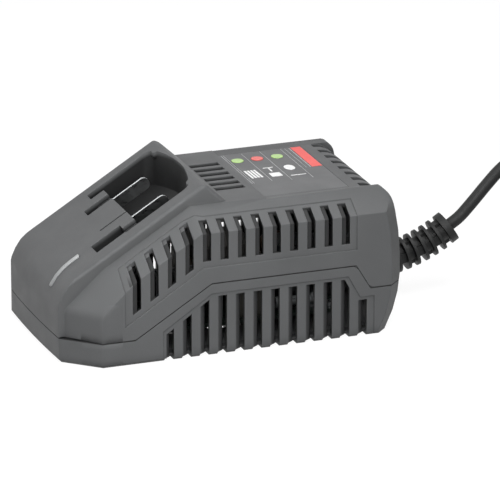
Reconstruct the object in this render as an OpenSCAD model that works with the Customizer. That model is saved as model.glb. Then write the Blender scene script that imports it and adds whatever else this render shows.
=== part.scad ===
// Power tool battery charger: a two-shell housing with a sloping battery dock,
// side and top vents, the power supply inside it, and a coiled mains lead with its plug.
// X runs along the housing from the nose (-X) to the cord (+X), Z is up, and the
// origin is the middle of the base, on the surface that the feet stand on.

/* [Housing] */
// Length of the housing from nose to rear
body_l = 172; // [167:1:182]
// Width of the housing
body_w = 105; // [101:1:115]
// Height of the flat rear deck
deck_h = 71.7; // [69:0.1:75]
// Thickness of the housing walls
wall = 2.5; // [2:0.1:3]
// Width between the two shoulder edges
shoulder_w = 76; // [74:1:80]
// Drop of the shoulder chamfer from deck to side wall
shoulder_drop = 9.3; // [7:0.1:11]
// Radius of the rear wall's curve above its fullest height
rear_bulge_r = 180; // [140:1:260]
// Radius of the rear wall's curve below its fullest height
rear_foot_r = 64; // [56:1:90]
// Size of the chamfered rear corners in plan
rear_corner = 6.5; // [5:0.1:8]
// Depth of the slanted nose corners, measured from the nose
nose_corner = 19.9; // [17:0.1:23]
// How far the nose bows outward at its middle
nose_bow = 1; // [0.5:0.1:2.5]
// How far the upper shell stands back beside the dock
nose_step = 3.1; // [2:0.1:4]
// Size of the chamfer round the base
base_chamfer = 1.6; // [0.8:0.1:2]
// Gap between the shells at the seam
seam_gap = 0.3; // [0.2:0.05:0.5]

/* [Seam] */
// Height of the seam at the nose
seam_low = 12.9; // [12:0.1:14]
// Height of the seam along the middle of the side
seam_high = 36.8; // [34:0.1:39]
// Height of the seam at the rear
seam_rear = 24.7; // [24.5:0.1:27]

/* [Dock] */
// Width of the battery dock
dock_w = 73.6; // [72:0.1:75]
// Height at which the dock's ramp would meet the slope behind it
crest_h = 82.1; // [81:0.1:85]
// Distance from the nose to the crest
crest_d = 77.2; // [75:0.1:79]
// Slope of the dock in degrees
ramp_a = 31.4; // [30.4:0.1:32]
// Height of the dock's rails above the shoulders, measured upright
rail_h = 5.8; // [5:0.1:7]
// Width of the well that takes the battery's foot
well_w = 57.9; // [56:0.1:59]
// Depth of the well, square to the slope
well_depth = 15; // [14:0.1:16]
// Length of the well's floor from the terminal block to the crest, along the slope
well_l = 36.2; // [35:0.1:38]
// Width of the terminal block
block_w = 45.8; // [44:0.1:47]
// Length of the terminal block along the slope
block_l = 7.4; // [7:0.1:8.5]
// Distance between the two contact blades
blade_pitch = 28.1; // [26.5:0.1:29]
// Thickness of a contact blade
blade_t = 1; // [0.8:0.1:1.2]
// Width of a contact blade, square to the slope
blade_w = 6.4; // [5:0.1:8]
// How far a blade stands out of the block
blade_reach = 20; // [16:0.1:23]

/* [Vents] */
// Number of slots in each upper side panel
upper_slots = 13; // [11:1:13]
// Number of slots in each lower side panel
lower_slots = 12; // [10:1:12]
// Distance between slots in the upper panels
upper_pitch = 8.85; // [8.7:0.05:9]
// Distance between slots in the lower panels
lower_pitch = 8.97; // [8.7:0.01:9]
// Width of an upper slot at its mouth
upper_slot_w = 4.2; // [3.6:0.1:4.6]
// Width of a lower slot at its mouth
lower_slot_w = 4.7; // [4:0.1:5]
// Width of the side slots where they reach the inside
slot_throat = 1.8; // [1:0.1:2.2]
// Depth of the recessed side panels
panel_depth = 0.5; // [0.3:0.1:0.8]
// Number of louvres behind the crest
louvres = 6; // [4:1:6]
// Distance between louvres
louvre_pitch = 7.2; // [6.5:0.1:7.4]
// Number of slots over the rear edge
rear_slots = 8; // [6:1:8]
// Distance between rear slots
rear_pitch = 9; // [8:0.1:9]

/* [Fittings] */
// Diameter of the indicator windows
window_d = 6; // [5:0.1:7]
// Thickness of the printed label
label_t = 0.5; // [0.3:0.1:0.8]
// Diameter of the rubber feet
foot_d = 12; // [10:0.5:14]
// How far the feet stand out of the base
foot_h = 0.4; // [0.3:0.1:1.2]
// Shank diameter of the housing screws
screw_d = 3; // [2.5:0.1:3.5]
// Running clearance between fitted pieces
fit = 0.15; // [0.1:0.05:0.25]

/* [Electronics] */
// Length of the circuit board
board_l = 108; // [100:1:110]
// Width of the circuit board
board_w = 84; // [80:1:88]
// Thickness of the circuit board
board_t = 1.6; // [1.2:0.1:2]
// Height of the board's supports above the housing floor
board_rise = 8; // [6:0.5:9]

/* [Cord] */
// Diameter of the mains cord
cord_d = 6.2; // [5.8:0.1:6.4]
// Radius of the strain relief's bend
relief_r = 74; // [73.9:0.1:74.1]
// Angle through which the strain relief bends
relief_a = 33.6; // [33.5:0.1:33.7]
// Diameter of the strain relief's ribs
relief_d = 16.6; // [15:0.1:17]
// Height of the cord where it leaves the housing
exit_z = 17.6; // [17.5:0.1:17.7]

/* [Hidden] */
$fn = 40;
e = 0.02;                      // overlap that keeps cuts clean
big = 400;                     // longer than the whole object
half_w = body_w / 2;
nose_half = dock_w / 2;
rear_mid = 31;                 // height at which the rear wall is fullest
rear_top_r = 8;                // roundness of the rear top edge
rear_corner_r = 13;            // roundness of the rear corners' top edge
barrel_at = [0, 0.13, 0.26, 0.39, 0.53, 0.7, 1]; // heights that shape the rear wall, as shares
datum = 2;                     // the nose's middle lies this far behind the point lengths are measured from
crest_x = fx(crest_d);
corner_x = fx(nose_corner);
break_drop = rail_h + shoulder_drop;
floor_z = foot_h + wall;       // top of the housing floor
base_z = foot_h;               // underside of the lower shell
fall_a = 42.8;                 // slope behind the crest
crest_r = 5;                   // roundness of the crest
fall_r = 2;                    // roundness where the crest meets the deck
nose_r = 27;                   // roundness of the nose
corner_wall_h = 27;            // height of the slanted nose corners
corner_tilt = 50;              // slope of the shoulder over those corners
corner_r = 7;                  // roundness between the two
dock_edge = [[7, 1], [1.2, -0.16], [0.55, -0.55], [0.16, -1.2], [-1, -7]]; // rounded edge, from the side

// Side panels
upper_first = 37.4;
upper_foot = 48.2;             // level foot of the upper slots
upper_foot_low = 25.4;         // foot of the first slot
slot_rise = 0.63;              // rise of the slots' feet along the slope
pocket_depth = 1.4;            // depth of the upper slots' floors
panel_front = 31.3;            // front border of the upper panels
panel_past = 1.4;              // how far those panels run on past the slots over the shoulder
upper_cut = 7.8;               // how far the upper slots run in over the level shoulder
slope_cut = 9.9;               // and over the sloping one
lower_first = 53.6;
lower_slot_depth = 3.2;
foot_notch = [6, 1.2];         // depth and height of the notches under the lower slots

// Deck behind the crest
louvre_x0 = 88.9;
louvre_l = 15.1;
louvre_w = 4.3;
tray_x0 = 107.7;               // front edge of the sunken label tray
tray_drop = 1.2;
tray_half = 34.4;
label_l = 43.5;
label_w = 66;
rear_slot_x0 = body_l - 14.2;
rear_slot_w = 4.3;
rear_slot_foot = 60;
rear_edge_r = 12;
rear_edge_x = body_l - 1.4;
window_y = 22;
window_x = [115.2, 125.4, 135.8];

// Terminal block and blades, in the dock's slope frame
well_behind = 0.35;            // how far the middle of the well's end lies behind the crest
well_bow = 4.3;                // how far that end comes forward 25 mm beside the middle
well_corner_r = 5;
detent_d = 5.5;
detent_in = 3.7;               // distance of the detents from the well's sides
detent_out = 1.2;              // how far they stand out of its end
blade_top = 2.5;
blade_root = 6.4;
blade_tail_l = 4.6;
blade_tail_drop = 9;
channel_l = 7.6;
channel_depth = 10;
lid_t = 2.2;                   // thickness of the housing over the terminal block
key_slot_l = 14.4;             // slot in that lid, over the positive blade
key_slot_y = [10.3, 16.4];
key_slot_depth = 6;
groove_l = 15.6;               // fine groove beside the negative blade
groove_y = [-11.5, -10.3];

// Finger scoop and light bar beside the dock's middle
scoop_x = [25.5, 40.2];
scoop_y = [19, 28.2];
scoop_depth = 5;
bar_y = 19.7;
bar_w = 2.2;
bar_h = 0.9;
bar_end_d = 18.7;
bar_foot_z = crest_h - 48.6;
bar_back = 0.3;                // set back to follow the nose's bow

// Housing screws and feet
screw_y = [30, 37];
boss_d = 8;
foot_x = [30, body_l - 22];
foot_y = 40;

// Circuit board
board_z = floor_z + board_rise;
board_top = board_z + board_t;
board_hole_in = 5;

// Cord entry
rear_x = body_l / 2;           // where the strain relief leaves the rear wall
seat_x = rear_x - 6.4;         // inner face of the pad behind the rear wall
clamp_x = rear_x - 19;         // middle of the clamp that holds the cord
clamp_y = 9;                   // its screws, from the middle
clamp_half = 3.5;              // half its length along the cord
board_x1 = clamp_x - clamp_half - 5.5; // rear edge of the board, clear of the clamp
board_x0 = board_x1 - board_l; // front edge of the board
screw_x = [board_x0 - 11, rear_x - 14]; // housing screws, clear of the board's front and the rear wall
neck_d = 12;
core_d = 10;
rib_t = 1.5;
rib_pitch = 4.7;
collar_l = 3.7;
collar_d = 16.3;
inner_cord_l = 24;

// Route of the free cord, from the strain relief to the coil
ROUTE = [
    [130, 0, 32], [136, 0, 36.1], [143, 0, 43.2], [150, 0, 50.8], [157, 0.5, 58],
    [164, 1, 63.6], [171, 1.5, 66.2], [178, 2.5, 67], [186, 4, 65.5], [194, 5.5, 61],
    [201, 7, 54.5], [207, 8.3, 47], [213, 9.5, 39.6], [220, 11, 32.6], [227, 12, 27.7],
    [233, 12, 25], [237, 12, 24.3], [240, 12, 24.3]
];
// Route of the short stretch between the coil and the plug
TAIL = [[240, -69, 4.2], [233, -69, 4.2], [225, -69, 5.4], [218, -69, 6.9], [212, -69, 6.9]];
coil_at = [247, -28.5];
coil_turns = 7.5;
coil_layers = 4;
coil_out = 40.5;
coil_in = 27.5;
coil_step = 6.7;
coil_low = 4.2;
coil_lead = 7;
coil_rings = 24;
tie_t = 0.8;
tie_w = 8;
plug_at = [212, -69, 6.9];
plug_l = 38;
plug_w = 35.3;
plug_t = 13.7;
plug_tail_d = 10;
pin_d = 4;
pin_l = 19;
pin_pitch = 18.6;

// ---------- plane geometry ----------

// A length measured along the housing, from a point just ahead of the nose, as an X coordinate
function fx(d) = d - datum - body_l / 2;

function unit(v) = v / norm(v);

// A closed outline moved inward by g (outward if g is negative); anticlockwise points
function inset(pts, g) =
    let (n = len(pts))
    [for (i = [0:n - 1])
        let (
            u = unit(pts[i] - pts[(i + n - 1) % n]),
            v = unit(pts[(i + 1) % n] - pts[i]),
            a = [-u.y, u.x],
            b = [-v.y, v.x]
        )
        pts[i] + g * (a + b) / (1 + a * b)];

// One corner turned into an arc of radius r that touches both sides
function arc_corner(a, b, c, r, n) =
    let (
        u = unit(a - b),
        v = unit(c - b),
        half = acos(max(-1, min(1, u * v))) / 2,
        mid = b + unit(u + v) * r / sin(half),
        p = b + u * r / tan(half),
        q = b + v * r / tan(half),
        a0 = atan2(p.y - mid.y, p.x - mid.x),
        turn = atan2(q.y - mid.y, q.x - mid.x) - a0,
        sweep = turn > 180 ? turn - 360 : turn < -180 ? turn + 360 : turn
    )
    [for (i = [0:n]) mid + r * [cos(a0 + sweep * i / n), sin(a0 + sweep * i / n)]];

// An outline whose corners each have their own radius, 0 for a sharp one
function rounded(pts, radii, n = 6) =
    let (m = len(pts))
    [for (i = [0:m - 1])
        each (radii[i] > 0
            ? arc_corner(pts[(i + m - 1) % m], pts[i], pts[(i + 1) % m], radii[i], n)
            : [pts[i]])];

// Height of the dock's ramp plane above a place on X
function ramp_z(x) = crest_h + (x - crest_x) * tan(ramp_a);

// X of a point on the barrel-shaped rear wall
function barrel_x(z) =
    let (r = z > rear_mid ? rear_bulge_r : rear_foot_r)
    body_l / 2 - r + sqrt(pow(r, 2) - pow(z - rear_mid, 2));

// Distance along the slope from the crest to the place at length d
function slope_u(d) = (d - crest_d) / cos(ramp_a);

// A point of the slope frame as X and Z
function on_slope_xz(u, w) = [
    crest_x + u * cos(ramp_a) - w * sin(ramp_a),
    crest_h + u * sin(ramp_a) + w * cos(ramp_a)
];

// Bow of the nose in plan, from one side to the other, set back by s and carried on by extra
function nose_arc(s, extra = 0, n = 8) =
    [for (i = [0:n])
        let (y = (nose_half + extra) * (1 - 2 * i / n))
        [fx(datum + s + nose_bow * pow(y / nose_half, 2)), y]];

// ---------- placing ----------

// Extrudes an outline drawn in XZ along Y, from y0 to y1
module along_y(y0, y1) {
    translate([0, y1, 0])
        rotate([90, 0, 0])
            linear_extrude(y1 - y0) children();
}

// Extrudes an outline drawn in YZ along X, from x0 to x1
module along_x(x0, x1) {
    translate([x0, 0, 0])
        rotate([90, 0, 90])
            linear_extrude(x1 - x0) children();
}

module both_sides() {
    children();
    mirror([0, 1, 0]) children();
}

// Places children in the dock's slope frame: +X up the slope, the ramp plane at Z 0
module on_slope() {
    translate([crest_x, 0, crest_h])
        rotate([0, -ramp_a, 0]) children();
}

module block(low, high) {
    translate(low) cube(high - low);
}

// A round bar between two points
module rod(a, b, d) {
    v = b - a;
    translate(a)
        rotate([0, acos(v.z / norm(v)), atan2(v.y, v.x)])
            cylinder(d = d, h = norm(v));
}

// ---------- housing forms ----------

function section(z0, g, top, drop) =
    inset([
        [-half_w, z0], [half_w, z0], [half_w, top - drop],
        [shoulder_w / 2, top], [-shoulder_w / 2, top], [-half_w, top - drop]
    ], g);

function side_outline(g) =
    rounded(
        inset(concat(
            [[fx(-5), base_z]],
            [for (f = barrel_at) let (z = base_z + f * (deck_h - base_z)) [barrel_x(z), z]],
            [[fx(-5), deck_h]]
        ), g),
        [0, for (f = barrel_at) f == 1 ? rear_top_r - g / 2 : 0, 0]);

function plan_outline(s) = concat(
    nose_arc(s),
    [
        [corner_x, -half_w], [body_l / 2 + 1, -half_w],
        [body_l / 2 + 1, half_w], [corner_x, half_w]
    ]);

// The nose in plan without its slanted corners
function nose_outline(s) = concat(
    nose_arc(s, 3),
    [
        [fx(datum + s + 2 * nose_bow), -half_w - 5], [body_l / 2 + 1, -half_w - 5],
        [body_l / 2 + 1, half_w + 5], [fx(datum + s + 2 * nose_bow), half_w + 5]
    ]);

// The body without the dock, moved inward by g; s sets its nose back from the dock's
module body_form(g, s) {
    intersection() {
        along_y(-half_w - 1, half_w + 1) polygon(side_outline(g));
        linear_extrude(crest_h) polygon(inset(nose_outline(s), g));
        along_x(fx(-5), body_l / 2 + 1) polygon(section(-10, g, deck_h, shoulder_drop));
        on_slope()
            along_x(-big / 2, big / 2)
                polygon(section(-big / 2, g, -rail_h * cos(ramp_a), shoulder_drop * cos(ramp_a)));
        rear_corner_form(g);
        nose_corner_form(g, s);
        mirror([0, 1, 0]) nose_corner_form(g, s);
    }
}

// Everything inward of one chamfered rear corner, which follows the barrel curve
module rear_corner_form(g) {
    shift = half_w - rear_corner;
    outline = concat(
        [[-big / 2, -10]],
        [for (f = concat([-0.13], barrel_at))
            let (z = base_z + f * (deck_h - base_z))
            [(barrel_x(z) + shift) / sqrt(2), z]],
        [[-big / 2, deck_h]]);
    section = rounded(inset(outline, g),
        [0, 0, for (f = barrel_at) f == 1 ? rear_corner_r - g / 2 : 0, 0]);
    intersection() {
        rotate([0, 0, -45]) along_y(-big / 2, big / 2) polygon(section);
        rotate([0, 0, 45]) along_y(-big / 2, big / 2) polygon(section);
    }
}

// Everything inward of one slanted nose corner and under its shoulder, with a round edge between
module nose_corner_form(g, s) {
    run = [nose_corner - datum - nose_bow - s, half_w - nose_half];
    outline = inset([
        [-big, -20], [0, -20], [0, corner_wall_h],
        [-big * cos(corner_tilt), corner_wall_h + big * sin(corner_tilt)],
        [-big, corner_wall_h + big * sin(corner_tilt)]
    ], g);
    translate([corner_x, half_w, 0])
        rotate([0, 0, atan2(run.y, run.x)])
            along_x(-big / 2, big / 2) polygon(rounded(outline, [0, 0, max(corner_r - g, 1), 0, 0]));
}

function dock_outline() = [
    [fx(-1), -5], [fx(crest_d + 40), -5], [fx(crest_d + 40), deck_h],
    [crest_x + (crest_h - deck_h) / tan(fall_a), deck_h],
    [crest_x, crest_h], [fx(datum), ramp_z(fx(datum))], [fx(datum), -5]
];

function dock_side(g) =
    let (p = dock_outline())
    rounded(inset([for (i = [1:6]) p[i]], g),
        [0, 0, max(fall_r - g, 0.5), max(crest_r - g, 0.5), max(nose_r - g, 1), 0]);

// The raised dock with its ramp, crest and rounded nose, moved inward by g
module dock_form(g) {
    intersection() {
        along_y(-nose_half + g, nose_half - g) polygon(dock_side(g));
        linear_extrude(crest_h + 1)
            polygon(inset(concat(nose_arc(0), [[fx(crest_d + 40), -half_w], [fx(crest_d + 40), half_w]]), g));
        translate([-big / 2, -big / 2, base_z + g]) cube(big);
    }
}

// The edges along the dock's top, whose outline is given from the side inward and from the top up
module dock_edges() {
    outline = concat(
        [for (p = dock_edge) [nose_half - p.x, p.y]],
        [[nose_half + 1, -big], [-nose_half - 1, -big]],
        [for (i = [len(dock_edge) - 1:-1:0]) [dock_edge[i].x - nose_half, dock_edge[i].y]]);
    intersection() {
        on_slope() along_x(-big, big) polygon(outline);
        translate([crest_x, 0, crest_h])
            rotate([0, fall_a, 0]) along_x(-big, big) polygon(outline);
    }
}

module dock_body() {
    intersection() {
        dock_form(0);
        dock_edges();
    }
}

function seam_line(dz) =
    rounded([
        [fx(-20), seam_low + dz], [fx(36.4), seam_low + dz], [fx(75.1), seam_high + dz],
        [fx(body_l - 23.1), seam_high + dz], [fx(body_l - 15.8), seam_rear + dz], [fx(200), seam_rear + dz],
        [fx(200), -50], [fx(-20), -50]
    ], [0, 6, 8, 5, 4, 0, 0, 0]);

// Everything below the seam, which is moved up by dz
module below_seam(dz) {
    along_y(-big / 2, big / 2) polygon(seam_line(dz));
}

// Chamfer cutter round the foot of a convex outline at height z
module foot_chamfer(pts, z, c) {
    n = len(pts);
    for (i = [0:n - 1])
        let (a = pts[i], v = pts[(i + 1) % n] - a)
        translate([a.x, a.y, z])
            rotate([0, 0, atan2(v.y, v.x)])
                along_x(-40, norm(v) + 40) polygon([[-1, -1 - c], [c + 1, -1], [-1, c + 1]]);
}

// ---------- side vents ----------

// Section of one side slot in plan: a slanting flank leaves a narrow throat inside
module slot_plan(x, w, depth) {
    throat_x = x + w / 2 - slot_throat;
    polygon([
        [x - w / 2, -half_w - 1], [x + w / 2, -half_w - 1],
        [x + w / 2, -half_w + depth], [throat_x, -half_w + depth],
        [throat_x, -half_w + wall], [x - w / 2, -half_w + panel_depth]
    ]);
}

function upper_foot_line(dz) = [
    [fx(panel_front), upper_foot_low - 2.3 + dz],
    [fx(panel_front + (upper_foot - upper_foot_low + 2.3) / slot_rise), upper_foot + dz],
    [fx(upper_first + (upper_slots - 1) * upper_pitch + 5.7), upper_foot + dz]
];

module upper_panel_region(dz, top) {
    foot = upper_foot_line(dz);
    along_y(-half_w - 1, 0)
        polygon([foot[0], foot[1], foot[2], [foot[2].x, top], [foot[0].x, top]]);
}

// Boxes at the upper slots, from their right edge over a width w
module upper_slot_boxes(w) {
    for (i = [0:upper_slots - 1]) {
        d = upper_first + i * upper_pitch;
        cut = d < crest_d - 9 ? slope_cut : upper_cut;
        block([fx(d + upper_slot_w / 2 - w), -half_w - 1, 0],
            [fx(d + upper_slot_w / 2), -half_w + cut, deck_h + 1]);
    }
}

// Each upper slot is a pocket that wraps over the shoulder, with a narrow throat to the inside
module upper_vents() {
    both_sides() {
        intersection() {
            union() {
                difference() {
                    upper_slot_boxes(upper_slot_w);
                    body_form(pocket_depth, nose_step);
                }
                upper_slot_boxes(slot_throat);
            }
            upper_panel_region(0, deck_h + 5);
        }
        intersection() {
            difference() {
                linear_extrude(deck_h + 3)
                    polygon([
                        [fx(0), -half_w - 1], [body_l / 2, -half_w - 1],
                        [body_l / 2, -half_w + upper_cut + panel_past],
                        [crest_x - 3, -half_w + upper_cut + panel_past],
                        [crest_x - 13, -half_w + slope_cut + panel_past],
                        [fx(0), -half_w + slope_cut + panel_past]
                    ]);
                body_form(panel_depth, nose_step);
            }
            upper_panel_region(-3.2, deck_h + 4);
        }
    }
}

function rib_region(d) = [
    [fx(50.4) + d, -5], [fx(lower_first + (lower_slots - 0.5) * lower_pitch + 1.6) - d, -5],
    [fx(lower_first + (lower_slots - 0.5) * lower_pitch + 1.6) - d, 20.6 - d],
    [fx(lower_first + (lower_slots - 1.6) * lower_pitch + 4.2) - d, 20.6 - d],
    [fx(lower_first + (lower_slots - 1.6) * lower_pitch - 2) - d, 31.8 - d],
    [fx(75.1) + d / 2, 31.8 - d], [fx(50.4) + d, 15.4 - d]
];

module lower_vents() {
    both_sides() {
        intersection() {
            union()
                for (i = [0:lower_slots - 1])
                    translate([0, 0, -5])
                        linear_extrude(seam_high + 5)
                            slot_plan(fx(lower_first + i * lower_pitch), lower_slot_w, lower_slot_depth);
            along_y(-half_w - 2, 0) polygon(rib_region(1.7));
        }
        for (i = [0:lower_slots - 1])
            let (x = fx(lower_first + i * lower_pitch))
            block([x - lower_slot_w / 2, -half_w - 1, -1],
                [x + lower_slot_w / 2, -half_w + foot_notch[0], base_z + foot_notch[1]]);
        intersection() {
            block([fx(0), -half_w - 1, -5], [body_l / 2, -half_w + panel_depth, seam_high]);
            along_y(-half_w - 2, 0) polygon(rib_region(0));
        }
    }
}

// ---------- shells ----------

function screw_places() = [
    for (i = [0, 1]) for (s = [-1, 1]) [screw_x[i], s * screw_y[i]]
];

function foot_places() = [for (d = foot_x) for (s = [-1, 1]) [fx(d), s * foot_y]];

function board_holes() = [
    for (x = [board_x0 + board_hole_in, board_x1 - board_hole_in])
        for (s = [-1, 1]) [x, s * (board_w / 2 - board_hole_in)]
];

module lower_shell() {
    color("#5e6062")
        difference() {
            union() {
                difference() {
                    intersection() {
                        body_form(0, 0);
                        below_seam(-seam_gap / 2);
                    }
                    body_form(wall, 0);
                }
                seam_lip();
                intersection() {
                    body_form(1, 0);
                    below_seam(-seam_gap / 2);
                    union() {
                        for (p = screw_places())
                            translate([p.x, p.y, base_z]) cylinder(d = boss_d, h = seam_high);
                        clamp_bosses();
                        cord_seat();
                    }
                }
                for (p = board_holes())
                    translate([p.x, p.y, base_z + e]) cylinder(d = 6, h = board_z - base_z - e);
            }
            foot_chamfer(plan_outline(0), base_z, base_chamfer);
            lower_vents();
            for (p = screw_places())
                translate([p.x, p.y, 0]) {
                    cylinder(d = screw_d + 2 * fit, h = seam_high + 5);
                    cylinder(d = 2 * screw_d + 2 * fit, h = floor_z + 2);
                }
            for (p = foot_places())
                translate([p.x, p.y, 0]) cylinder(d = foot_d + 2 * fit, h = base_z + wall / 2);
            for (p = board_holes())
                translate([p.x, p.y, floor_z + 1]) cylinder(d = 2.5, h = board_rise);
            cord_notch();
            for (s = [-1, 1])
                translate([clamp_x, s * clamp_y, floor_z]) cylinder(d = 2.5, h = exit_z);
            for (i = [-4:4])
                block([fx(85) + i * 7 - 1.5, -24, base_z - 1], [fx(85) + i * 7 + 1.5, 24, floor_z + 1]);
        }
}

module clamp_bosses() {
    for (s = [-1, 1])
        translate([clamp_x, s * clamp_y, base_z]) cylinder(d = 7, h = exit_z - cord_d / 2 - base_z);
    block([clamp_x - clamp_half, -clamp_y, base_z], [clamp_x + clamp_half, clamp_y, exit_z - cord_d / 2]);
}

// Flat pad inside the rear wall that the strain relief's flange bears on
module cord_seat() {
    block([seat_x, -neck_d, base_z], [body_l / 2, neck_d, exit_z + neck_d]);
}

// Lip inside the lower shell's edge that keeps the seam closed
module seam_lip() {
    intersection() {
        difference() {
            body_form(wall / 2 + fit, nose_step);
            body_form(wall, nose_step);
            block([rear_x - 12, -neck_d, 0], [body_l / 2 + 1, neck_d, crest_h]);
        }
        below_seam(1.4);
        difference() {
            block([fx(0), -half_w, floor_z], [body_l / 2, half_w, crest_h]);
            below_seam(-4);
        }
    }
}

// Opening in the rear wall for the strain relief's neck
module cord_notch() {
    translate([rear_x - 12, 0, exit_z])
        rotate([0, 90, 0]) cylinder(d = neck_d + 2 * fit, h = 20);
    block([rear_x - 12, -neck_d / 2 - fit, exit_z], [rear_x + 8, neck_d / 2 + fit, seam_rear + 5]);
}

module upper_shell() {
    color("#5e6062")
        difference() {
            union() {
                difference() {
                    union() {
                        body_form(0, nose_step);
                        dock_body();
                    }
                    body_form(wall, nose_step);
                    dock_form(wall);
                }
                intersection() {
                    union() {
                        body_form(0, nose_step);
                        dock_body();
                    }
                    union() {
                        dock_tray();
                        scoop_floor();
                        label_floor();
                        light_bar_bed();
                        key_slot(wall - 0.5);
                    }
                }
                intersection() {
                    body_form(1, nose_step);
                    cord_seat();
                }
                upper_bosses();
            }
            below_seam(seam_gap / 2);
            intersection() {
                body_form(wall / 2, nose_step);
                below_seam(1.4 + 2 * fit);
            }
            dock_well();
            blade_tail_slots();
            scoop();
            key_slot(0);
            lid_groove();
            light_bar_groove();
            upper_vents();
            deck_louvres();
            label_tray();
            rear_vents();
            for (d = window_x)
                translate([fx(d), window_y, deck_h - 12]) cylinder(d = window_d + 2 * fit, h = 20);
            for (p = screw_places())
                translate([p.x, p.y, 0]) cylinder(d = screw_d - 0.4, h = seam_high + 4);
        }
}

// Outline of the well in XZ, from its terminal wall to well behind the crest
function well_outline(g) =
    let (
        a = on_slope_xz(-well_l, 6),
        b = on_slope_xz(-well_l, -well_depth),
        back_x = crest_x + 12,
        c = [back_x, b.y + (back_x - b.x) * tan(ramp_a)]
    )
    inset([a, b, c, [back_x, crest_h + 6]], -g);

module well_form(g) {
    intersection() {
        union() {
            along_y(-half_w, half_w) polygon(well_outline(g));
            on_slope() both_sides()
                block([-well_l - channel_l - g, block_w / 2 - g, -channel_depth - g],
                    [-well_l + 1, half_w, 4]);
        }
        translate([0, 0, -1]) linear_extrude(2 * crest_h) polygon(well_plan(g));
    }
    on_slope()
        block([-well_l - block_l - g, -block_w / 2 - g, -well_depth - g],
            [-well_l + 1, block_w / 2 + g, g - lid_t]);
}

// Slot in the lid over the positive blade, with walls g thick round it
module key_slot(g) {
    on_slope()
        block([-well_l - key_slot_l - g, key_slot_y[0] - g, -key_slot_depth - g],
            [-well_l + 1, key_slot_y[1] + g, 1]);
}

module lid_groove() {
    on_slope()
        block([-well_l - groove_l, groove_y[0], -1], [-well_l + 1, groove_y[1], 1]);
}

// X of the well's bowed end, y beside the middle
function well_back(y) = crest_x + well_behind - well_bow * pow(abs(y) / 25, 1.6);

// The well in plan: its end bows back at the middle and has round corners
function well_plan(g) =
    let (
        half = well_w / 2,
        n = 6,
        bow = [for (i = [-n:n]) let (y = i / n * (half - well_corner_r)) [well_back(y), y]]
    )
    rounded(
        inset(concat(
            [[fx(0), -half], [well_back(half), -half]], bow, [[well_back(half), half], [fx(0), half]]
        ), -g),
        concat([0, well_corner_r + g], [for (p = bow) 0], [well_corner_r + g, 0]));

module dock_tray() {
    well_form(wall);
}

module dock_well() {
    difference() {
        well_form(0);
        detents();
    }
}

// Short upright ribs with round feet in the well's end, that catch the battery
module detents() {
    y = well_w / 2 - detent_in;
    for (s = [-1, 1])
        translate([well_back(y) + detent_d / 2 - detent_out, s * y, crest_h - 4.4]) {
            sphere(d = detent_d);
            cylinder(d = detent_d, h = 9);
        }
}

// Slots in the tray's floor for the blades' soldered tails
module blade_tail_slots() {
    on_slope()
        for (s = [-1, 1])
            translate([-well_l - blade_root - 1, s * blade_pitch / 2 - blade_t / 2 - 0.4, -well_depth - wall - 1])
                cube([blade_tail_l + 2, blade_t + 0.8, wall + 2]);
}

module scoop_wedge(g) {
    on_slope()
        along_x(slope_u(scoop_x[0]) - g, slope_u(scoop_x[1]) + g)
            polygon([
                [-scoop_y[0] + g, 1], [-scoop_y[1] - g, 1],
                [-scoop_y[1] - g, -g], [-scoop_y[0] + g, -scoop_depth - g]
            ]);
}

module scoop() {
    scoop_wedge(0);
}

module scoop_floor() {
    scoop_wedge(wall - 0.5);
}

// The light bar follows the nose, so it is cut from the dock's own side outline
module light_bar_path(out, deep, half) {
    translate([bar_back, 0, 0]) intersection() {
        along_y(-bar_y - half, -bar_y + half)
            difference() {
                polygon(dock_side(-out));
                polygon(dock_side(deep));
            }
        block([fx(-5), -half_w, bar_foot_z - (half - bar_w / 2)],
            [fx(bar_end_d) + (half - bar_w / 2), 0, crest_h]);
    }
}

module light_bar_groove() {
    light_bar_path(3, 1, bar_w / 2 + fit / 2);
}

module light_bar_bed() {
    light_bar_path(0, wall + 0.8, bar_w / 2 + 1.2);
}

// The sunken tray for the label runs out over a lower, rounder rear edge
module label_tray() {
    along_x(fx(tray_x0), body_l / 2 + 5)
        polygon([
            [-tray_half, deck_h - tray_drop], [tray_half, deck_h - tray_drop],
            [shoulder_w / 2 + 1, deck_h - 0.4], [shoulder_w / 2 + 1, deck_h + 1],
            [-shoulder_w / 2 - 1, deck_h + 1], [-shoulder_w / 2 - 1, deck_h - 0.4]
        ]);
    along_y(-tray_half, tray_half) polygon(rear_edge_cut(0));
    block([fx(tray_x0) + 1, -label_w / 2, deck_h - tray_drop - label_t],
        [fx(tray_x0) + 1 + label_l, label_w / 2, deck_h]);
}

function rear_edge_mid() = [fx(rear_edge_x) - rear_edge_r, deck_h - tray_drop - rear_edge_r];

// Outline above the rounded rear edge, moved inward by g
function rear_edge_cut(g) = concat(
    [for (i = [0:7]) rear_edge_mid() + (rear_edge_r - g) * [sin(i * 12), cos(i * 12)]],
    [[fx(180), rear_edge_mid().y + 1.2], [fx(180), deck_h + 5], [rear_edge_mid().x, deck_h + 5]]);

// Keeps the housing wall at full thickness under the tray and its round edge
module label_floor() {
    block([fx(tray_x0) - wall, -tray_half - 1, deck_h - tray_drop - label_t - wall],
        [body_l / 2, tray_half + 1, deck_h - 1]);
    difference() {
        along_y(-tray_half - 1, tray_half + 1)
            polygon([
                [rear_edge_mid().x, rear_edge_mid().y + 1.2],
                [body_l / 2, rear_edge_mid().y + 1.2],
                [body_l / 2, deck_h - 1], [rear_edge_mid().x, deck_h - 1]
            ]);
        along_y(-tray_half - 2, tray_half + 2)
            polygon(concat(
                [for (i = [0:7]) rear_edge_mid() + (rear_edge_r - wall) * [sin(i * 12.9), cos(i * 12.9)]],
                [rear_edge_mid() - [0.1, 0]]));
    }
}

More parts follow.
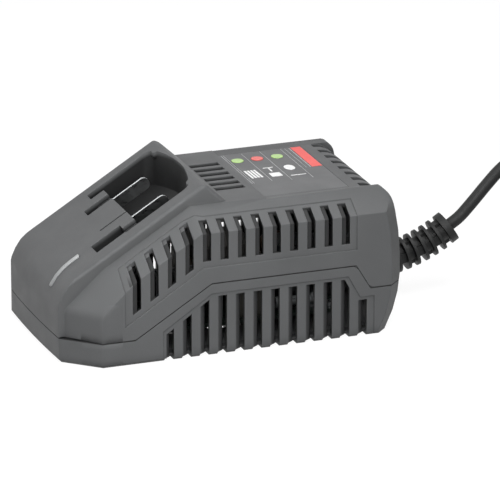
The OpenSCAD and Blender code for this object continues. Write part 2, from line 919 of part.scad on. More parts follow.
module deck_louvres() {
    for (i = [0:louvres - 1])
        translate([fx(louvre_x0), (i - (louvres - 1) / 2) * louvre_pitch, deck_h - 6])
            translate([0, -louvre_w / 2, 0]) cube([louvre_l, louvre_w, 12]);
}

module rear_vents() {
    for (i = [0:rear_slots - 1])
        translate([fx(rear_slot_x0), (i - (rear_slots - 1) / 2) * rear_pitch - rear_slot_w / 2, rear_slot_foot])
            cube([30, rear_slot_w, 20]);
}

// Posts for the screws that come up through the lower shell, and for the indicator board
module upper_bosses() {
    for (p = screw_places())
        intersection() {
            body_form(1, nose_step);
            translate([p.x, p.y, 0]) cylinder(d = boss_d, h = crest_h);
        }
    for (s = [-1, 1])
        translate([fx(window_x[1]) + s * 21, window_y, indicator_z])
            cylinder(d = 5, h = deck_h - tray_drop - label_t - 1 - indicator_z);
}

// ---------- deck fittings ----------

module indicator_label() {
    color("#77797b")
        difference() {
            block([fx(tray_x0) + 1 + fit, -label_w / 2 + fit, deck_h - tray_drop - label_t],
                [fx(tray_x0) + 1 + label_l - fit, label_w / 2 - fit, deck_h - tray_drop]);
            for (d = window_x)
                translate([fx(d), window_y, deck_h - 12]) cylinder(d = window_d + 2 * fit, h = 20);
        }
}

indicator_z = deck_h - 12;

module light_guides() {
    color("#b9d8b4")
        for (d = window_x)
            translate([fx(d), window_y, 0]) {
                translate([0, 0, deck_h - tray_drop - 6]) cylinder(d = window_d, h = 6.2);
                translate([0, 0, deck_h - tray_drop - 7.5]) cylinder(d = window_d + 2, h = 2.1);
            }
}

module dock_light_bar() {
    color("#e4e6e6") light_bar_path(bar_h, 1, bar_w / 2);
}

module terminal_block() {
    color("#3c3e40")
        on_slope()
            difference() {
                block([-well_l - block_l + fit, -block_w / 2 + fit, -well_depth],
                    [-well_l, block_w / 2 - fit, -lid_t - fit]);
                for (s = [-1, 1]) blade_profile(s, fit / 3);
                block([-well_l - block_l - 1, key_slot_y[0], -key_slot_depth],
                    [-well_l + 1, (blade_pitch - blade_t) / 2 - 0.8, 1]);
                block([-well_l - block_l - 1, (blade_pitch + blade_t) / 2 + 0.8, -key_slot_depth],
                    [-well_l + 1, key_slot_y[1], 1]);
            }
}

// One blade in the slope frame, with its root in the block and its tail through the tray
module blade_profile(s, g) {
    top = -blade_top;
    foot = -blade_top - blade_w;
    tip = -well_l + blade_reach;
    y = s * blade_pitch / 2;
    along_y(y - blade_t / 2 - g, y + blade_t / 2 + g)
        polygon(rounded(inset([
            [-well_l - blade_root, foot - blade_tail_drop],
            [-well_l - blade_root + blade_tail_l, foot - blade_tail_drop],
            [-well_l - blade_root + blade_tail_l, foot],
            [tip, foot], [tip, top], [-well_l - blade_root, top]
        ], -g), [0.5, 0.5, 1, 3, 3, 1]));
}

module positive_blade() {
    color("#c9ccce") on_slope() blade_profile(1, 0);
}

module negative_blade() {
    color("#c9ccce") on_slope() blade_profile(-1, 0);
}

// ---------- fasteners and feet ----------

// A pan-head screw with its head down at the origin
module screw(head_d, head_h, shank_d, l) {
    difference() {
        cylinder(d = head_d, h = head_h);
        translate([-0.4, -head_d / 3, -e]) cube([0.8, head_d / 1.5, head_h / 2]);
        translate([-head_d / 3, -0.4, -e]) cube([head_d / 1.5, 0.8, head_h / 2]);
    }
    translate([0, 0, head_h - e]) cylinder(d = shank_d, h = l);
}

module housing_screws() {
    color("#a9acae")
        for (p = screw_places())
            translate([p.x, p.y, floor_z + 2 - 2.4])
                screw(2 * screw_d - 0.4, 2.4, screw_d - 0.4, (p.x < 0 ? seam_low : seam_rear) + 7 - floor_z);
}

module rubber_feet() {
    color("#232425")
        for (p = foot_places())
            translate([p.x, p.y, 0]) cylinder(d = foot_d, h = base_z + wall / 2);
}

// ---------- electronics ----------

module main_board() {
    color("#2f6b46")
        difference() {
            block([board_x0, -board_w / 2, board_z], [board_x1, board_w / 2, board_top]);
            for (p = board_holes())
                translate([p.x, p.y, 0]) cylinder(d = 3, h = board_top + 5);
            block([board_x1 - 44, 30.5, 0], [board_x1 - 22, 31.5, board_top + 1]);
        }
}

module board_screws() {
    color("#b7b9ba")
        for (p = board_holes())
            translate([p.x, p.y, board_top + 2])
                mirror([0, 0, 1]) screw(5, 2, 2.4, board_rise - 1);
}

trafo_x = board_x1 - 50;
trafo_w = 28;

module transformer_core() {
    color("#4a4644")
        translate([trafo_x, 0, board_top + 3])
            difference() {
                translate([-15, -trafo_w / 2, 0]) cube([30, trafo_w, 25]);
                translate([-16, -trafo_w / 2 + 5, 5]) cube([32, trafo_w - 10, 15]);
            }
}

module transformer_winding() {
    color("#c08a3a") {
        translate([trafo_x, 0, board_top + 3]) {
            translate([-13, -trafo_w / 2 + 5 + fit, 5 + fit]) cube([26, trafo_w - 10 - 2 * fit, 15 - 2 * fit]);
            for (s = [-1, 1])
                translate([s * 17 - 2, -12, -3]) cube([4, 24, 22]);
            translate([-16, -trafo_w / 2 + 7, 8]) cube([32, trafo_w - 14, 9]);
        }
    }
}

module can(d, h) {
    cylinder(d = d, h = h * 0.08);
    translate([0, 0, h * 0.08 - e]) cylinder(d = d - 1, h = h * 0.06);
    translate([0, 0, h * 0.14 - 2 * e]) cylinder(d = d, h = h * 0.86);
}

module bulk_capacitor() {
    color("#31363c")
        translate([board_x1 - 19.5, -20, board_top]) can(22, 30);
}

module output_capacitors() {
    color("#31363c")
        for (y = [-12, 0, 12])
            translate([board_x0 + 20, y, board_top]) can(10, 16);
}

module line_choke() {
    color("#b5702c")
        translate([board_x1 - 14, 16, board_top + 11])
            rotate([90, 0, 0]) {
                rotate_extrude() translate([7.5, 0]) circle(d = 7);
                translate([-6, -11, -3.5]) cube([12, 2, 7]);
            }
}

module filter_capacitor() {
    color("#c9b23a")
        block([board_x1 - 52, -38, board_top], [board_x1 - 40, -20, board_top + 16]);
}

module line_fuse() {
    color("#d5d7d8")
        translate([board_x1 - 22, -35, board_top + 4])
            rotate([0, 90, 0]) {
                cylinder(d = 4.6, h = 20, center = true);
                for (s = [-1, 1])
                    translate([0, 0, s * 8]) {
                        cylinder(d = 5.6, h = 5, center = true);
                        translate([0, -1.5, -1]) cube([4, 3, 2]);
                    }
            }
}

module bridge_rectifier() {
    color("#26282a")
        block([board_x1 - 43.5, 30.6, board_top - 1], [board_x1 - 22.5, 31.4, board_top + 3]);
    color("#26282a")
        block([board_x1 - 44, 29, board_top + 2.9], [board_x1 - 22, 33, board_top + 20]);
}

// A finned heatsink that stands on the board
module heatsink(l, fins) {
    cube([l, 2.4, 26]);
    for (i = [0:fins - 1])
        translate([i * (l - 1.4) / (fins - 1), 2.4 - e, 0]) cube([1.4, 7, 26]);
}

module primary_heatsink() {
    color("#b9bcbe")
        translate([board_x1 - 60, 26, board_top]) heatsink(14, 4);
}

module secondary_heatsink() {
    color("#b9bcbe")
        translate([board_x0 + 14, -28, board_top]) mirror([0, 1, 0]) heatsink(board_l - 74, 8);
}

// A tab-mounted power device with its three legs
module power_device() {
    translate([-5, 0, 8]) cube([10, 4, 9]);
    translate([-5, 0, 16.9]) cube([10, 1.2, 6]);
    for (i = [-1:1])
        translate([i * 2.5 - 0.5, 1.5, 0]) cube([1, 0.8, 8.1]);
}

module switching_transistor() {
    color("#202224")
        translate([board_x1 - 53, 26, board_top]) mirror([0, 1, 0]) power_device();
}

module output_diode() {
    color("#202224")
        translate([board_x0 + 31, -28, board_top]) power_device();
}

module indicator_board() {
    color("#2f6b46")
        translate([fx(window_x[1]) - 25, window_y - 6, indicator_z - 1.2]) cube([50, 12, 1.2]);
}

module indicator_leds() {
    color("#d8e4d4")
        for (d = window_x)
            translate([fx(d), window_y, indicator_z]) {
                cylinder(d = 3.8, h = 0.8);
                cylinder(d = 3, h = 1.6);
                translate([0, 0, 1.6]) sphere(d = 3);
            }
}

module ribbon_cable() {
    color("#8d9093")
        along_y(window_y - 5.8, window_y - 0.4)
            polygon([
                [fx(window_x[0]) - 14, board_top], [fx(window_x[0]) - 13, board_top],
                [fx(window_x[0]) - 13, indicator_z - 3.4], [fx(window_x[0]) - 8, indicator_z - 2.4],
                [fx(window_x[0]) - 8, indicator_z - 1.2], [fx(window_x[0]) - 9.5, indicator_z - 1.2],
                [fx(window_x[0]) - 14, indicator_z - 2.6]
            ]);
}

// ---------- leads and cord entry ----------

module blade_lead(s) {
    u = -well_l - blade_root + blade_tail_l / 2;
    w = -blade_top - blade_w - blade_tail_drop;
    tail = on_slope_xz(u, w);
    bend = on_slope_xz(u, w - 3);
    y = s * blade_pitch / 2;
    tube([
        [tail.x, y, tail.y], [bend.x, y, bend.y], [bend.x - 0.6, y, bend.y - 4],
        [board_x0 + 9, y, board_top + 12], [board_x0 + 8, y, board_top + 6], [board_x0 + 8, y, board_top]
    ], 1.2, 8, [0, 1, 0]);
}

module positive_lead() {
    color("#b3261e") blade_lead(1);
}

module negative_lead() {
    color("#1c1d1e") blade_lead(-1);
}

inner_end = rear_x - inner_cord_l;

module mains_lead(s) {
    pad = board_x1 - 4;
    tube([
        [inner_end, s * 1.4, exit_z], [inner_end - 1.2, s * 1.4, exit_z],
        [inner_end - 3.4, s * 2.4, exit_z + 1.2], [pad + 2.4, s * 3.5, exit_z + 1.6],
        [pad + 0.6, s * 4, exit_z + 0.2], [pad, s * 4, board_top + 2.6], [pad, s * 4, board_top]
    ], 1, 8, [0, 1, 0]);
}

module live_lead() {
    color("#7a4a22") mains_lead(-1);
}

module neutral_lead() {
    color("#2a5aa0") mains_lead(1);
}

module inner_cord() {
    color("#1d1e1f") rod([inner_end, 0, exit_z], [seat_x - 2, 0, exit_z], cord_d);
}

module cord_clamp() {
    color("#4d4f51")
        difference() {
            block([clamp_x - clamp_half, -clamp_y - 3.5, exit_z - cord_d / 2 + 0.4],
                [clamp_x + clamp_half, clamp_y + 3.5, exit_z + cord_d / 2 + 1.6]);
            rod([clamp_x - 5, 0, exit_z], [clamp_x + 5, 0, exit_z], cord_d + 0.1);
            block([clamp_x - 5, -cord_d / 2 - 0.05, 0], [clamp_x + 5, cord_d / 2 + 0.05, exit_z]);
            for (s = [-1, 1])
                translate([clamp_x, s * clamp_y, 0]) cylinder(d = 3, h = 60);
        }
}

module clamp_screws() {
    color("#b7b9ba")
        for (s = [-1, 1])
            translate([clamp_x, s * clamp_y, exit_z + cord_d / 2 + 1.6 + 2])
                mirror([0, 0, 1]) screw(5, 2, 2.4, 12);
}

// The ribbed strain relief bends upward in one arc; its ribs stand square to the cord
module strain_relief() {
    color("#1f2021") {
        along_x(seat_x - 2, seat_x) translate([0, exit_z]) circle(d = neck_d + 4);
        along_x(seat_x - 0.1, rear_x + 0.9) translate([0, exit_z]) circle(d = neck_d);
        block([seat_x - 0.1, -neck_d / 2, exit_z], [rear_x - 1.2, neck_d / 2, seam_rear - fit]);
        translate([rear_x, 0, exit_z]) relief_bend();
    }
}

module relief_bend() {
    bend_l = relief_r * relief_a * PI / 180;
    ribs = floor(bend_l / rib_pitch);
    translate([0, 0, relief_r])
        rotate([90, 0, 0])
            rotate([0, 0, -90])
                rotate_extrude(angle = relief_a) translate([relief_r, 0]) circle(d = core_d);
    for (i = [0:ribs - 1])
        at_bend(bend_l - (i + 1.02) * rib_pitch) {
            cylinder(d = relief_d, h = rib_t);
            relief_web(i);
        }
    at_bend(bend_l) cylinder(d = collar_d, h = collar_l);
}

// Webs join each rib to the next by turns at the sides and above and below
module relief_web(i) {
    rotate([0, 0, i % 2 == 0 ? 0 : 90])
        translate([-core_d / 2 - 1, -2.4, rib_t - 0.1])
            cube([core_d + 2, 4.8, rib_pitch - rib_t + 0.2]);
}

// Places children on the bend, s along it, with Z along the cord
module at_bend(s) {
    a = s / relief_r * 180 / PI;
    translate([relief_r * sin(a), 0, relief_r * (1 - cos(a))])
        rotate([0, 90 - a, 0]) children();
}

// ---------- cord ----------

// Points of one ring of a tube at p, square to t; ref is a direction the tube never takes
function ring(p, t, r, n, ref) =
    let (side = unit(cross(t, ref)), up = cross(side, t))
    [for (k = [0:n - 1]) p + r * (cos(360 * k / n) * side + sin(360 * k / n) * up)];

// A closed tube with n sides swept through points
module tube(points, r, n, ref = [0, 0, 1]) {
    m = len(points);
    rings = [for (i = [0:m - 1])
        each ring(points[i],
            unit(points[min(i + 1, m - 1)] - points[max(i - 1, 0)]), r, n, ref)];
    sides = [for (i = [0:m - 2]) for (k = [0:n - 1])
        let (a = i * n + k, b = i * n + (k + 1) % n)
        each [[a, b, a + n], [b, b + n, a + n]]];
    ends = [for (k = [1:n - 2]) each [
        [0, k + 1, k], [(m - 1) * n, (m - 1) * n + k, (m - 1) * n + k + 1]]];
    polyhedron(concat(rings, points), concat(sides, ends));
}

module power_cord() {
    color("#18191a") tube(ROUTE, cord_d / 2, 8);
}

per_layer = coil_turns / coil_layers;

// A point of the coil after t turns: it spirals in and out and steps down a layer at a time
function coil_point(t) =
    let (
        layer = floor(t / per_layer),
        f = t / per_layer - layer,
        inward = layer % 2 == 0 ? f : 1 - f,
        r = coil_out - (coil_out - coil_in) * inward,
        near = round(t / per_layer),
        ease = near < 1 || near >= coil_layers ? 0 : max(-1, min(1, (t - near * per_layer) / 0.25)),
        steps = near < 1 ? 0 : near >= coil_layers ? coil_layers - 1 : near - 0.5 + ease / 2
    )
    [
        coil_at.x + r * sin(360 * t),
        coil_at.y + r * cos(360 * t),
        coil_low + coil_step * (coil_layers - 1 - steps)
    ];

coil_count = coil_turns * coil_rings;
COIL = concat(
    [coil_point(0) - [coil_lead, 0, 0]],
    [for (i = [0:coil_count]) coil_point(i / coil_rings)],
    [coil_point(coil_turns) - [coil_lead, 0, 0]]);

// Least clear distance between turns of the coil, measured on its own points
coil_gap = min([for (i = [0:3:len(COIL) - 1]) for (k = [i + 12:len(COIL) - 1])
    norm(COIL[i] - COIL[k])]) - cord_d;
echo(coil_gap_mm = coil_gap);

module cord_coil() {
    color("#18191a") tube(COIL, cord_d / 2, 6);
}

// A strap round the bundle of turns
module cord_tie() {
    top = coil_low + coil_step * (coil_layers - 1) + cord_d / 2;
    mid = coil_at.x + (coil_out + coil_in) / 2;
    half = (coil_out - coil_in) / 2 + cord_d / 2 + 0.3;
    color("#2a2b2c")
        translate([0, coil_at.y, 0])
            along_y(-tie_w / 2, tie_w / 2)
                difference() {
                    polygon(rounded([
                        [mid - half - tie_t, 0], [mid + half + tie_t, 0],
                        [mid + half + tie_t, top + 0.3 + tie_t], [mid - half - tie_t, top + 0.3 + tie_t]
                    ], [2.4, 2.4, 2.4, 2.4]));
                    polygon(rounded([
                        [mid - half, tie_t], [mid + half, tie_t],
                        [mid + half, top + 0.3], [mid - half, top + 0.3]
                    ], [1.6, 1.6, 1.6, 1.6]));
                }
}

module plug_lead() {
    color("#18191a") tube(TAIL, cord_d / 2, 8);
}

// The flat two-pin plug, with its grip waist and the sleeve that the lead enters
module plug_body() {
    outline = rounded([
        [plug_at.x - plug_l, -plug_w / 2], [plug_at.x - plug_l + 14, -plug_w / 2],
        [plug_at.x - 12, -plug_tail_d / 2 - 1], [plug_at.x, -plug_tail_d / 2],
        [plug_at.x, plug_tail_d / 2], [plug_at.x - 12, plug_tail_d / 2 + 1],
        [plug_at.x - plug_l + 14, plug_w / 2], [plug_at.x - plug_l, plug_w / 2]
    ], [4, 6, 12, 1, 1, 12, 6, 4]);
    color("#18191a")
        translate([0, plug_at.y, 0])
            intersection() {
                linear_extrude(plug_t) polygon(outline);
                along_y(-plug_w, plug_w)
                    polygon(rounded([
                        [plug_at.x - plug_l, 0], [plug_at.x - 12, 0],
                        [plug_at.x, plug_at.z - plug_tail_d / 2], [plug_at.x, plug_at.z + plug_tail_d / 2],
                        [plug_at.x - 12, plug_t], [plug_at.x - plug_l, plug_t]
                    ], [2, 8, 1, 1, 8, 2]));
            }
}

module plug_pins() {
    color("#cfd2d4")
        for (s = [-1, 1])
            translate([plug_at.x - plug_l, plug_at.y + s * pin_pitch / 2, plug_at.z])
                rotate([0, -90, 0]) cylinder(d = pin_d, h = pin_l);
}

lower_shell();
upper_shell();
indicator_label();
light_guides();
dock_light_bar();
terminal_block();
positive_blade();
negative_blade();
housing_screws();
rubber_feet();
main_board();
board_screws();
transformer_core();
transformer_winding();
bulk_capacitor();
output_capacitors();
line_choke();
filter_capacitor();
line_fuse();
bridge_rectifier();
primary_heatsink();
secondary_heatsink();
switching_transistor();
output_diode();
indicator_board();
indicator_leds();
ribbon_cable();
positive_lead();
negative_lead();
live_lead();
neutral_lead();
inner_cord();
cord_clamp();
clamp_screws();
strain_relief();
power_cord();
cord_coil();
cord_tie();
plug_lead();
plug_body();
plug_pins();
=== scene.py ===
import math

import bmesh
import bpy
from mathutils import Matrix, Vector


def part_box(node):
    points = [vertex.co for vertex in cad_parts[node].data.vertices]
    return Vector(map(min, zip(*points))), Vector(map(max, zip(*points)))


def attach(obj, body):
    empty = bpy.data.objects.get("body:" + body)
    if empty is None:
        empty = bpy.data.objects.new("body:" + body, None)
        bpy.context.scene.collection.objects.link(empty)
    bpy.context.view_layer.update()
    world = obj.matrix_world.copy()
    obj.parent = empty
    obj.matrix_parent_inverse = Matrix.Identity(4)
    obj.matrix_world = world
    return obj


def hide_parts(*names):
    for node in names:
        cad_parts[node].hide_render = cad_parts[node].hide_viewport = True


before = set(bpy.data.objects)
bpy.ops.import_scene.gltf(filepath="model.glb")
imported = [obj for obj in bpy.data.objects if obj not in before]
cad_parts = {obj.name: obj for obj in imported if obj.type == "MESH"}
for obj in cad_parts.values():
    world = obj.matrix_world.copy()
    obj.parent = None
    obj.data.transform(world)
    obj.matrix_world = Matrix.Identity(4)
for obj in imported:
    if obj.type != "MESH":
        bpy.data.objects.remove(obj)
bpy.context.view_layer.update()
MM = 0.001

scene = bpy.context.scene
scene.view_settings.view_transform = "Standard"


def mm(*v):
    return Vector(v) * MM


def srgb(text):
    """A hex colour as linear values."""
    out = []
    for i in (0, 2, 4):
        c = int(text[i + 1:i + 3], 16) / 255
        out.append(c / 12.92 if c <= 0.04045 else ((c + 0.055) / 1.055) ** 2.4)
    return (*out, 1.0)


# ---------------------------------------------------------------- camera

# The photo's view, fitted to its edges: right and up on the picture, in the frame's axes
RIGHT = Vector((0.9385, -0.3453, 0.0)).normalized()
STEEP = Vector((0.115, 0.3125, 0.943))
UP = (STEEP - RIGHT * RIGHT.dot(STEEP)).normalized()
BACK = RIGHT.cross(UP)
LENS = 396.0
SENSOR = 36
PHOTO_WIDTH = 500
PIXELS_PER_MM = 2.05
DISTANCE = LENS / SENSOR * PHOTO_WIDTH / PIXELS_PER_MM * MM
# The picture's middle, in millimetres along RIGHT and UP, and a step back along X
AIM_RIGHT, AIM_UP, AIM_BACK = 25.56, 33.12, 1.6

cam_data = bpy.data.cameras.new("camera")
cam = bpy.data.objects.new("camera", cam_data)
scene.collection.objects.link(cam)
aim = RIGHT * AIM_RIGHT * MM + UP * AIM_UP * MM - Vector((AIM_BACK, 0, 0)) * MM
cam.matrix_world = Matrix.Translation(aim + BACK * DISTANCE) @ Matrix(
    (RIGHT, UP, BACK)).transposed().to_4x4()
cam_data.lens = LENS
cam_data.sensor_width = SENSOR
cam_data.sensor_fit = "HORIZONTAL"
cam_data.clip_end = 20
scene.camera = cam


# ---------------------------------------------------------------- cord

CORD_D = 6.2

# The lead in millimetres: out of the relief, over an arch and down to the coil, and from it to the plug
ROUTE = [
    (130, 0, 32), (136, 0, 36.1), (143, 0, 43.2), (150, 0, 50.8), (157, 0.5, 57.4),
    (164, 1, 62), (171, 1.5, 64.6), (178, 2.5, 65.3), (186, 4, 64), (194, 5.5, 60.2),
    (201, 7, 54.5), (207, 8.3, 47), (213, 9.5, 39.6), (220, 11, 32.6), (227, 12, 28.1),
    (233, 12, 25.7), (237, 12, 24.8), (240, 12, 24.45),
]
TAIL = [(240, -69, 4.2), (233, -69, 4.2), (225, -69, 5.4), (218, -69, 6.9), (212, -69, 6.9)]
ROUTE_CUTS = 4

# The coil: its middle, turns and layers, the radii of its centreline, the layers' pitch and lowest
# height, the share of a turn in which the lead drops a layer, and the points on each turn
COIL_AT = (247, -28.5)
COIL_TURNS = 7.5
COIL_LAYERS = 4
COIL_OUT = 40.5
COIL_IN = 27.5
COIL_STEP = 6.7
COIL_LOW = 4.2
COIL_DROP = 0.25
COIL_POINTS = 48


def coil_point(t):
    """The coil's centreline after t turns; it spirals in and out again, one layer lower each time."""
    per_layer = COIL_TURNS / COIL_LAYERS
    layer = math.floor(t / per_layer)
    f = t / per_layer - layer
    inward = f if layer % 2 == 0 else 1 - f
    r = COIL_OUT - (COIL_OUT - COIL_IN) * inward
    near = math.floor(t / per_layer + 0.5)
    if near < 1:
        steps = 0
    elif near >= COIL_LAYERS:
        steps = COIL_LAYERS - 1
    else:
        steps = near - 0.5 + max(-1, min(1, (t - near * per_layer) / COIL_DROP)) / 2
    a = 2 * math.pi * t
    return (COIL_AT[0] + r * math.sin(a), COIL_AT[1] + r * math.cos(a),
            COIL_LOW + COIL_STEP * (COIL_LAYERS - 1 - steps))


def smooth_line(points, cuts):
    """Points on a smooth curve through the given ones, with so many cuts between two of them."""
    p = [Vector(q) for q in points]
    p = [p[0] * 2 - p[1]] + p + [p[-1] * 2 - p[-2]]
    out = []
    for i in range(1, len(p) - 2):
        for k in range(cuts):
            t = k / cuts
            a, b, c, d = p[i - 1], p[i], p[i + 1], p[i + 2]
            out.append(0.5 * (2 * b + (c - a) * t + (2 * a - 5 * b + 4 * c - d) * t * t
                              + (3 * b - a - 3 * c + d) * t ** 3))
    out.append(p[-2])
    return out


cord_points = smooth_line(ROUTE, ROUTE_CUTS)
cord_points += [Vector(coil_point(i / COIL_POINTS)) for i in range(int(COIL_TURNS * COIL_POINTS) + 1)]
cord_points += smooth_line(TAIL, ROUTE_CUTS)

curve = bpy.data.curves.new("mains_cord", "CURVE")
curve.dimensions = "3D"
spline = curve.splines.new("POLY")
spline.points.add(len(cord_points) - 1)
# The radius sits on the points, with a bevel of 1, because the curve's box counts the points' radius
for point, p in zip(spline.points, cord_points):
    point.co = (*(p * MM), 1)
    point.radius = CORD_D / 2 * MM
curve.bevel_depth = 1.0
curve.bevel_resolution = 5
curve.use_fill_caps = True
cord = bpy.data.objects.new("mains_cord", curve)
scene.collection.objects.link(cord)

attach(cord, "root")
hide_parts("power_cord", "cord_coil", "plug_lead")


# ---------------------------------------------------------------- stage and lamps

FLOOR_HALF = 6
# The floor's grey, which throws light back on the object, and how white it is for the camera
FLOOR_GREY = 0.35
FLOOR_GLOW = 1.46
FLOOR_WHITE = 0.64
AMBIENT = 0.1

floor_mesh = bpy.data.meshes.new("floor")
floor_corners = [(x * FLOOR_HALF, y * FLOOR_HALF, 0) for x, y in ((-1, -1), (1, -1), (1, 1), (-1, 1))]
floor_mesh.from_pydata(floor_corners, [], [(0, 1, 2, 3)])
floor = bpy.data.objects.new("floor", floor_mesh)
scene.collection.objects.link(floor)


def seen_directly(tree, share):
    """As much as share for what the camera, mirrors and glass see, and 0 for light on the object."""
    path = tree.nodes.new("ShaderNodeLightPath")
    value = path.outputs["Is Camera Ray"]
    for kind in ("Is Glossy Ray", "Is Transmission Ray"):
        either = tree.nodes.new("ShaderNodeMath")
        either.operation = "MAXIMUM"
        tree.links.new(value, either.inputs[0])
        tree.links.new(path.outputs[kind], either.inputs[1])
        value = either.outputs[0]
    scale = tree.nodes.new("ShaderNodeMath")
    scale.operation = "MULTIPLY"
    scale.inputs[1].default_value = share
    tree.links.new(value, scale.inputs[0])
    return scale.outputs[0]


def two_shaders(tree, output, plain, white, share):
    """A plain shader that turns to a white one, as much as share, where it is seen directly."""
    mix = tree.nodes.new("ShaderNodeMixShader")
    tree.links.new(seen_directly(tree, share), mix.inputs[0])
    tree.links.new(plain.outputs[0], mix.inputs[1])
    tree.links.new(white.outputs[0], mix.inputs[2])
    tree.links.new(mix.outputs[0], tree.nodes.new(output).inputs[0])


m = bpy.data.materials.new("floor")
m.use_nodes = True
m.node_tree.nodes.clear()
diffuse = m.node_tree.nodes.new("ShaderNodeBsdfDiffuse")
diffuse.inputs["Color"].default_value = (FLOOR_GREY, FLOOR_GREY, FLOOR_GREY, 1)
glow = m.node_tree.nodes.new("ShaderNodeEmission")
glow.inputs["Strength"].default_value = FLOOR_GLOW
two_shaders(m.node_tree, "ShaderNodeOutputMaterial", diffuse, glow, FLOOR_WHITE)
floor_mesh.materials.append(m)

world = bpy.data.worlds.new("studio")
scene.world = world
world.use_nodes = True
world.node_tree.nodes.clear()
ambient = world.node_tree.nodes.new("ShaderNodeBackground")
ambient.inputs["Color"].default_value = (0.98, 0.99, 1, 1)
ambient.inputs["Strength"].default_value = AMBIENT
white = world.node_tree.nodes.new("ShaderNodeBackground")
white.inputs["Color"].default_value = (1, 1, 1, 1)
two_shaders(world.node_tree, "ShaderNodeOutputWorld", ambient, white, 1.0)


def lamp(name, at, to, size, power):
    """A square lamp of plain strength at one point, turned to another."""
    data = bpy.data.lights.new(name, "AREA")
    data.shape = "RECTANGLE"
    data.size = data.size_y = size
    data.energy = power
    o = bpy.data.objects.new(name, data)
    scene.collection.objects.link(o)
    o.location = at
    o.rotation_euler = (Vector(to) - Vector(at)).to_track_quat("-Z", "Y").to_euler()


TARGET = (0, 0, 0.04)
lamp("near_left", (-0.13, -0.38, 0.24), (-0.01, -0.05, 0.045), 0.22, 1.35)
lamp("left_high", (-1.1, -0.1, 1.1), TARGET, 0.8, 3.7)
lamp("front_high", (-0.1, -1.1, 1.1), TARGET, 0.8, 1.4)
lamp("back_left", (-0.9, 0.9, 0.8), TARGET, 0.8, 1.5)
lamp("top", (0.08, -0.3, 1.2), TARGET, 0.6, 8)


# ---------------------------------------------------------------- smooth shading of the CAD solids

SMOOTH_ANGLE = math.radians(33)
WELD_GAP = 0.000002
FLAT_WEIGHT = 90

soften = bpy.data.node_groups.new("smooth_by_angle", "GeometryNodeTree")
soften.interface.new_socket("Geometry", in_out="INPUT", socket_type="NodeSocketGeometry")
soften.interface.new_socket("Geometry", in_out="OUTPUT", socket_type="NodeSocketGeometry")
sn = soften.nodes
angle = sn.new("GeometryNodeInputMeshEdgeAngle")
sharp = sn.new("FunctionNodeCompare")
sharp.data_type = "FLOAT"
sharp.operation = "GREATER_THAN"
sharp.inputs[1].default_value = SMOOTH_ANGLE
normals = sn.new("GeometryNodeSetMeshNormal")
normals.mode = "SHARPNESS"
normals.inputs["Remove Custom"].default_value = True
soften.links.new(angle.outputs["Unsigned Angle"], sharp.inputs[0])
soften.links.new(sn.new("NodeGroupInput").outputs[0], normals.inputs["Mesh"])
soften.links.new(sharp.outputs[0], normals.inputs["Edge Sharpness"])
soften.links.new(normals.outputs[0], sn.new("NodeGroupOutput").inputs[0])


def smooth_solid(o):
    """Joins the facets of a solid and rounds their shading, with its flat faces kept flat."""
    weld = o.modifiers.new("weld", "WELD")
    weld.merge_threshold = WELD_GAP
    o.modifiers.new("smooth", "NODES").node_group = soften
    keep = o.modifiers.new("flat_faces", "WEIGHTED_NORMAL")
    keep.mode = "FACE_AREA"
    keep.weight = FLAT_WEIGHT
    keep.keep_sharp = True


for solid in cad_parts.values():
    smooth_solid(solid)


# ---------------------------------------------------------------- materials


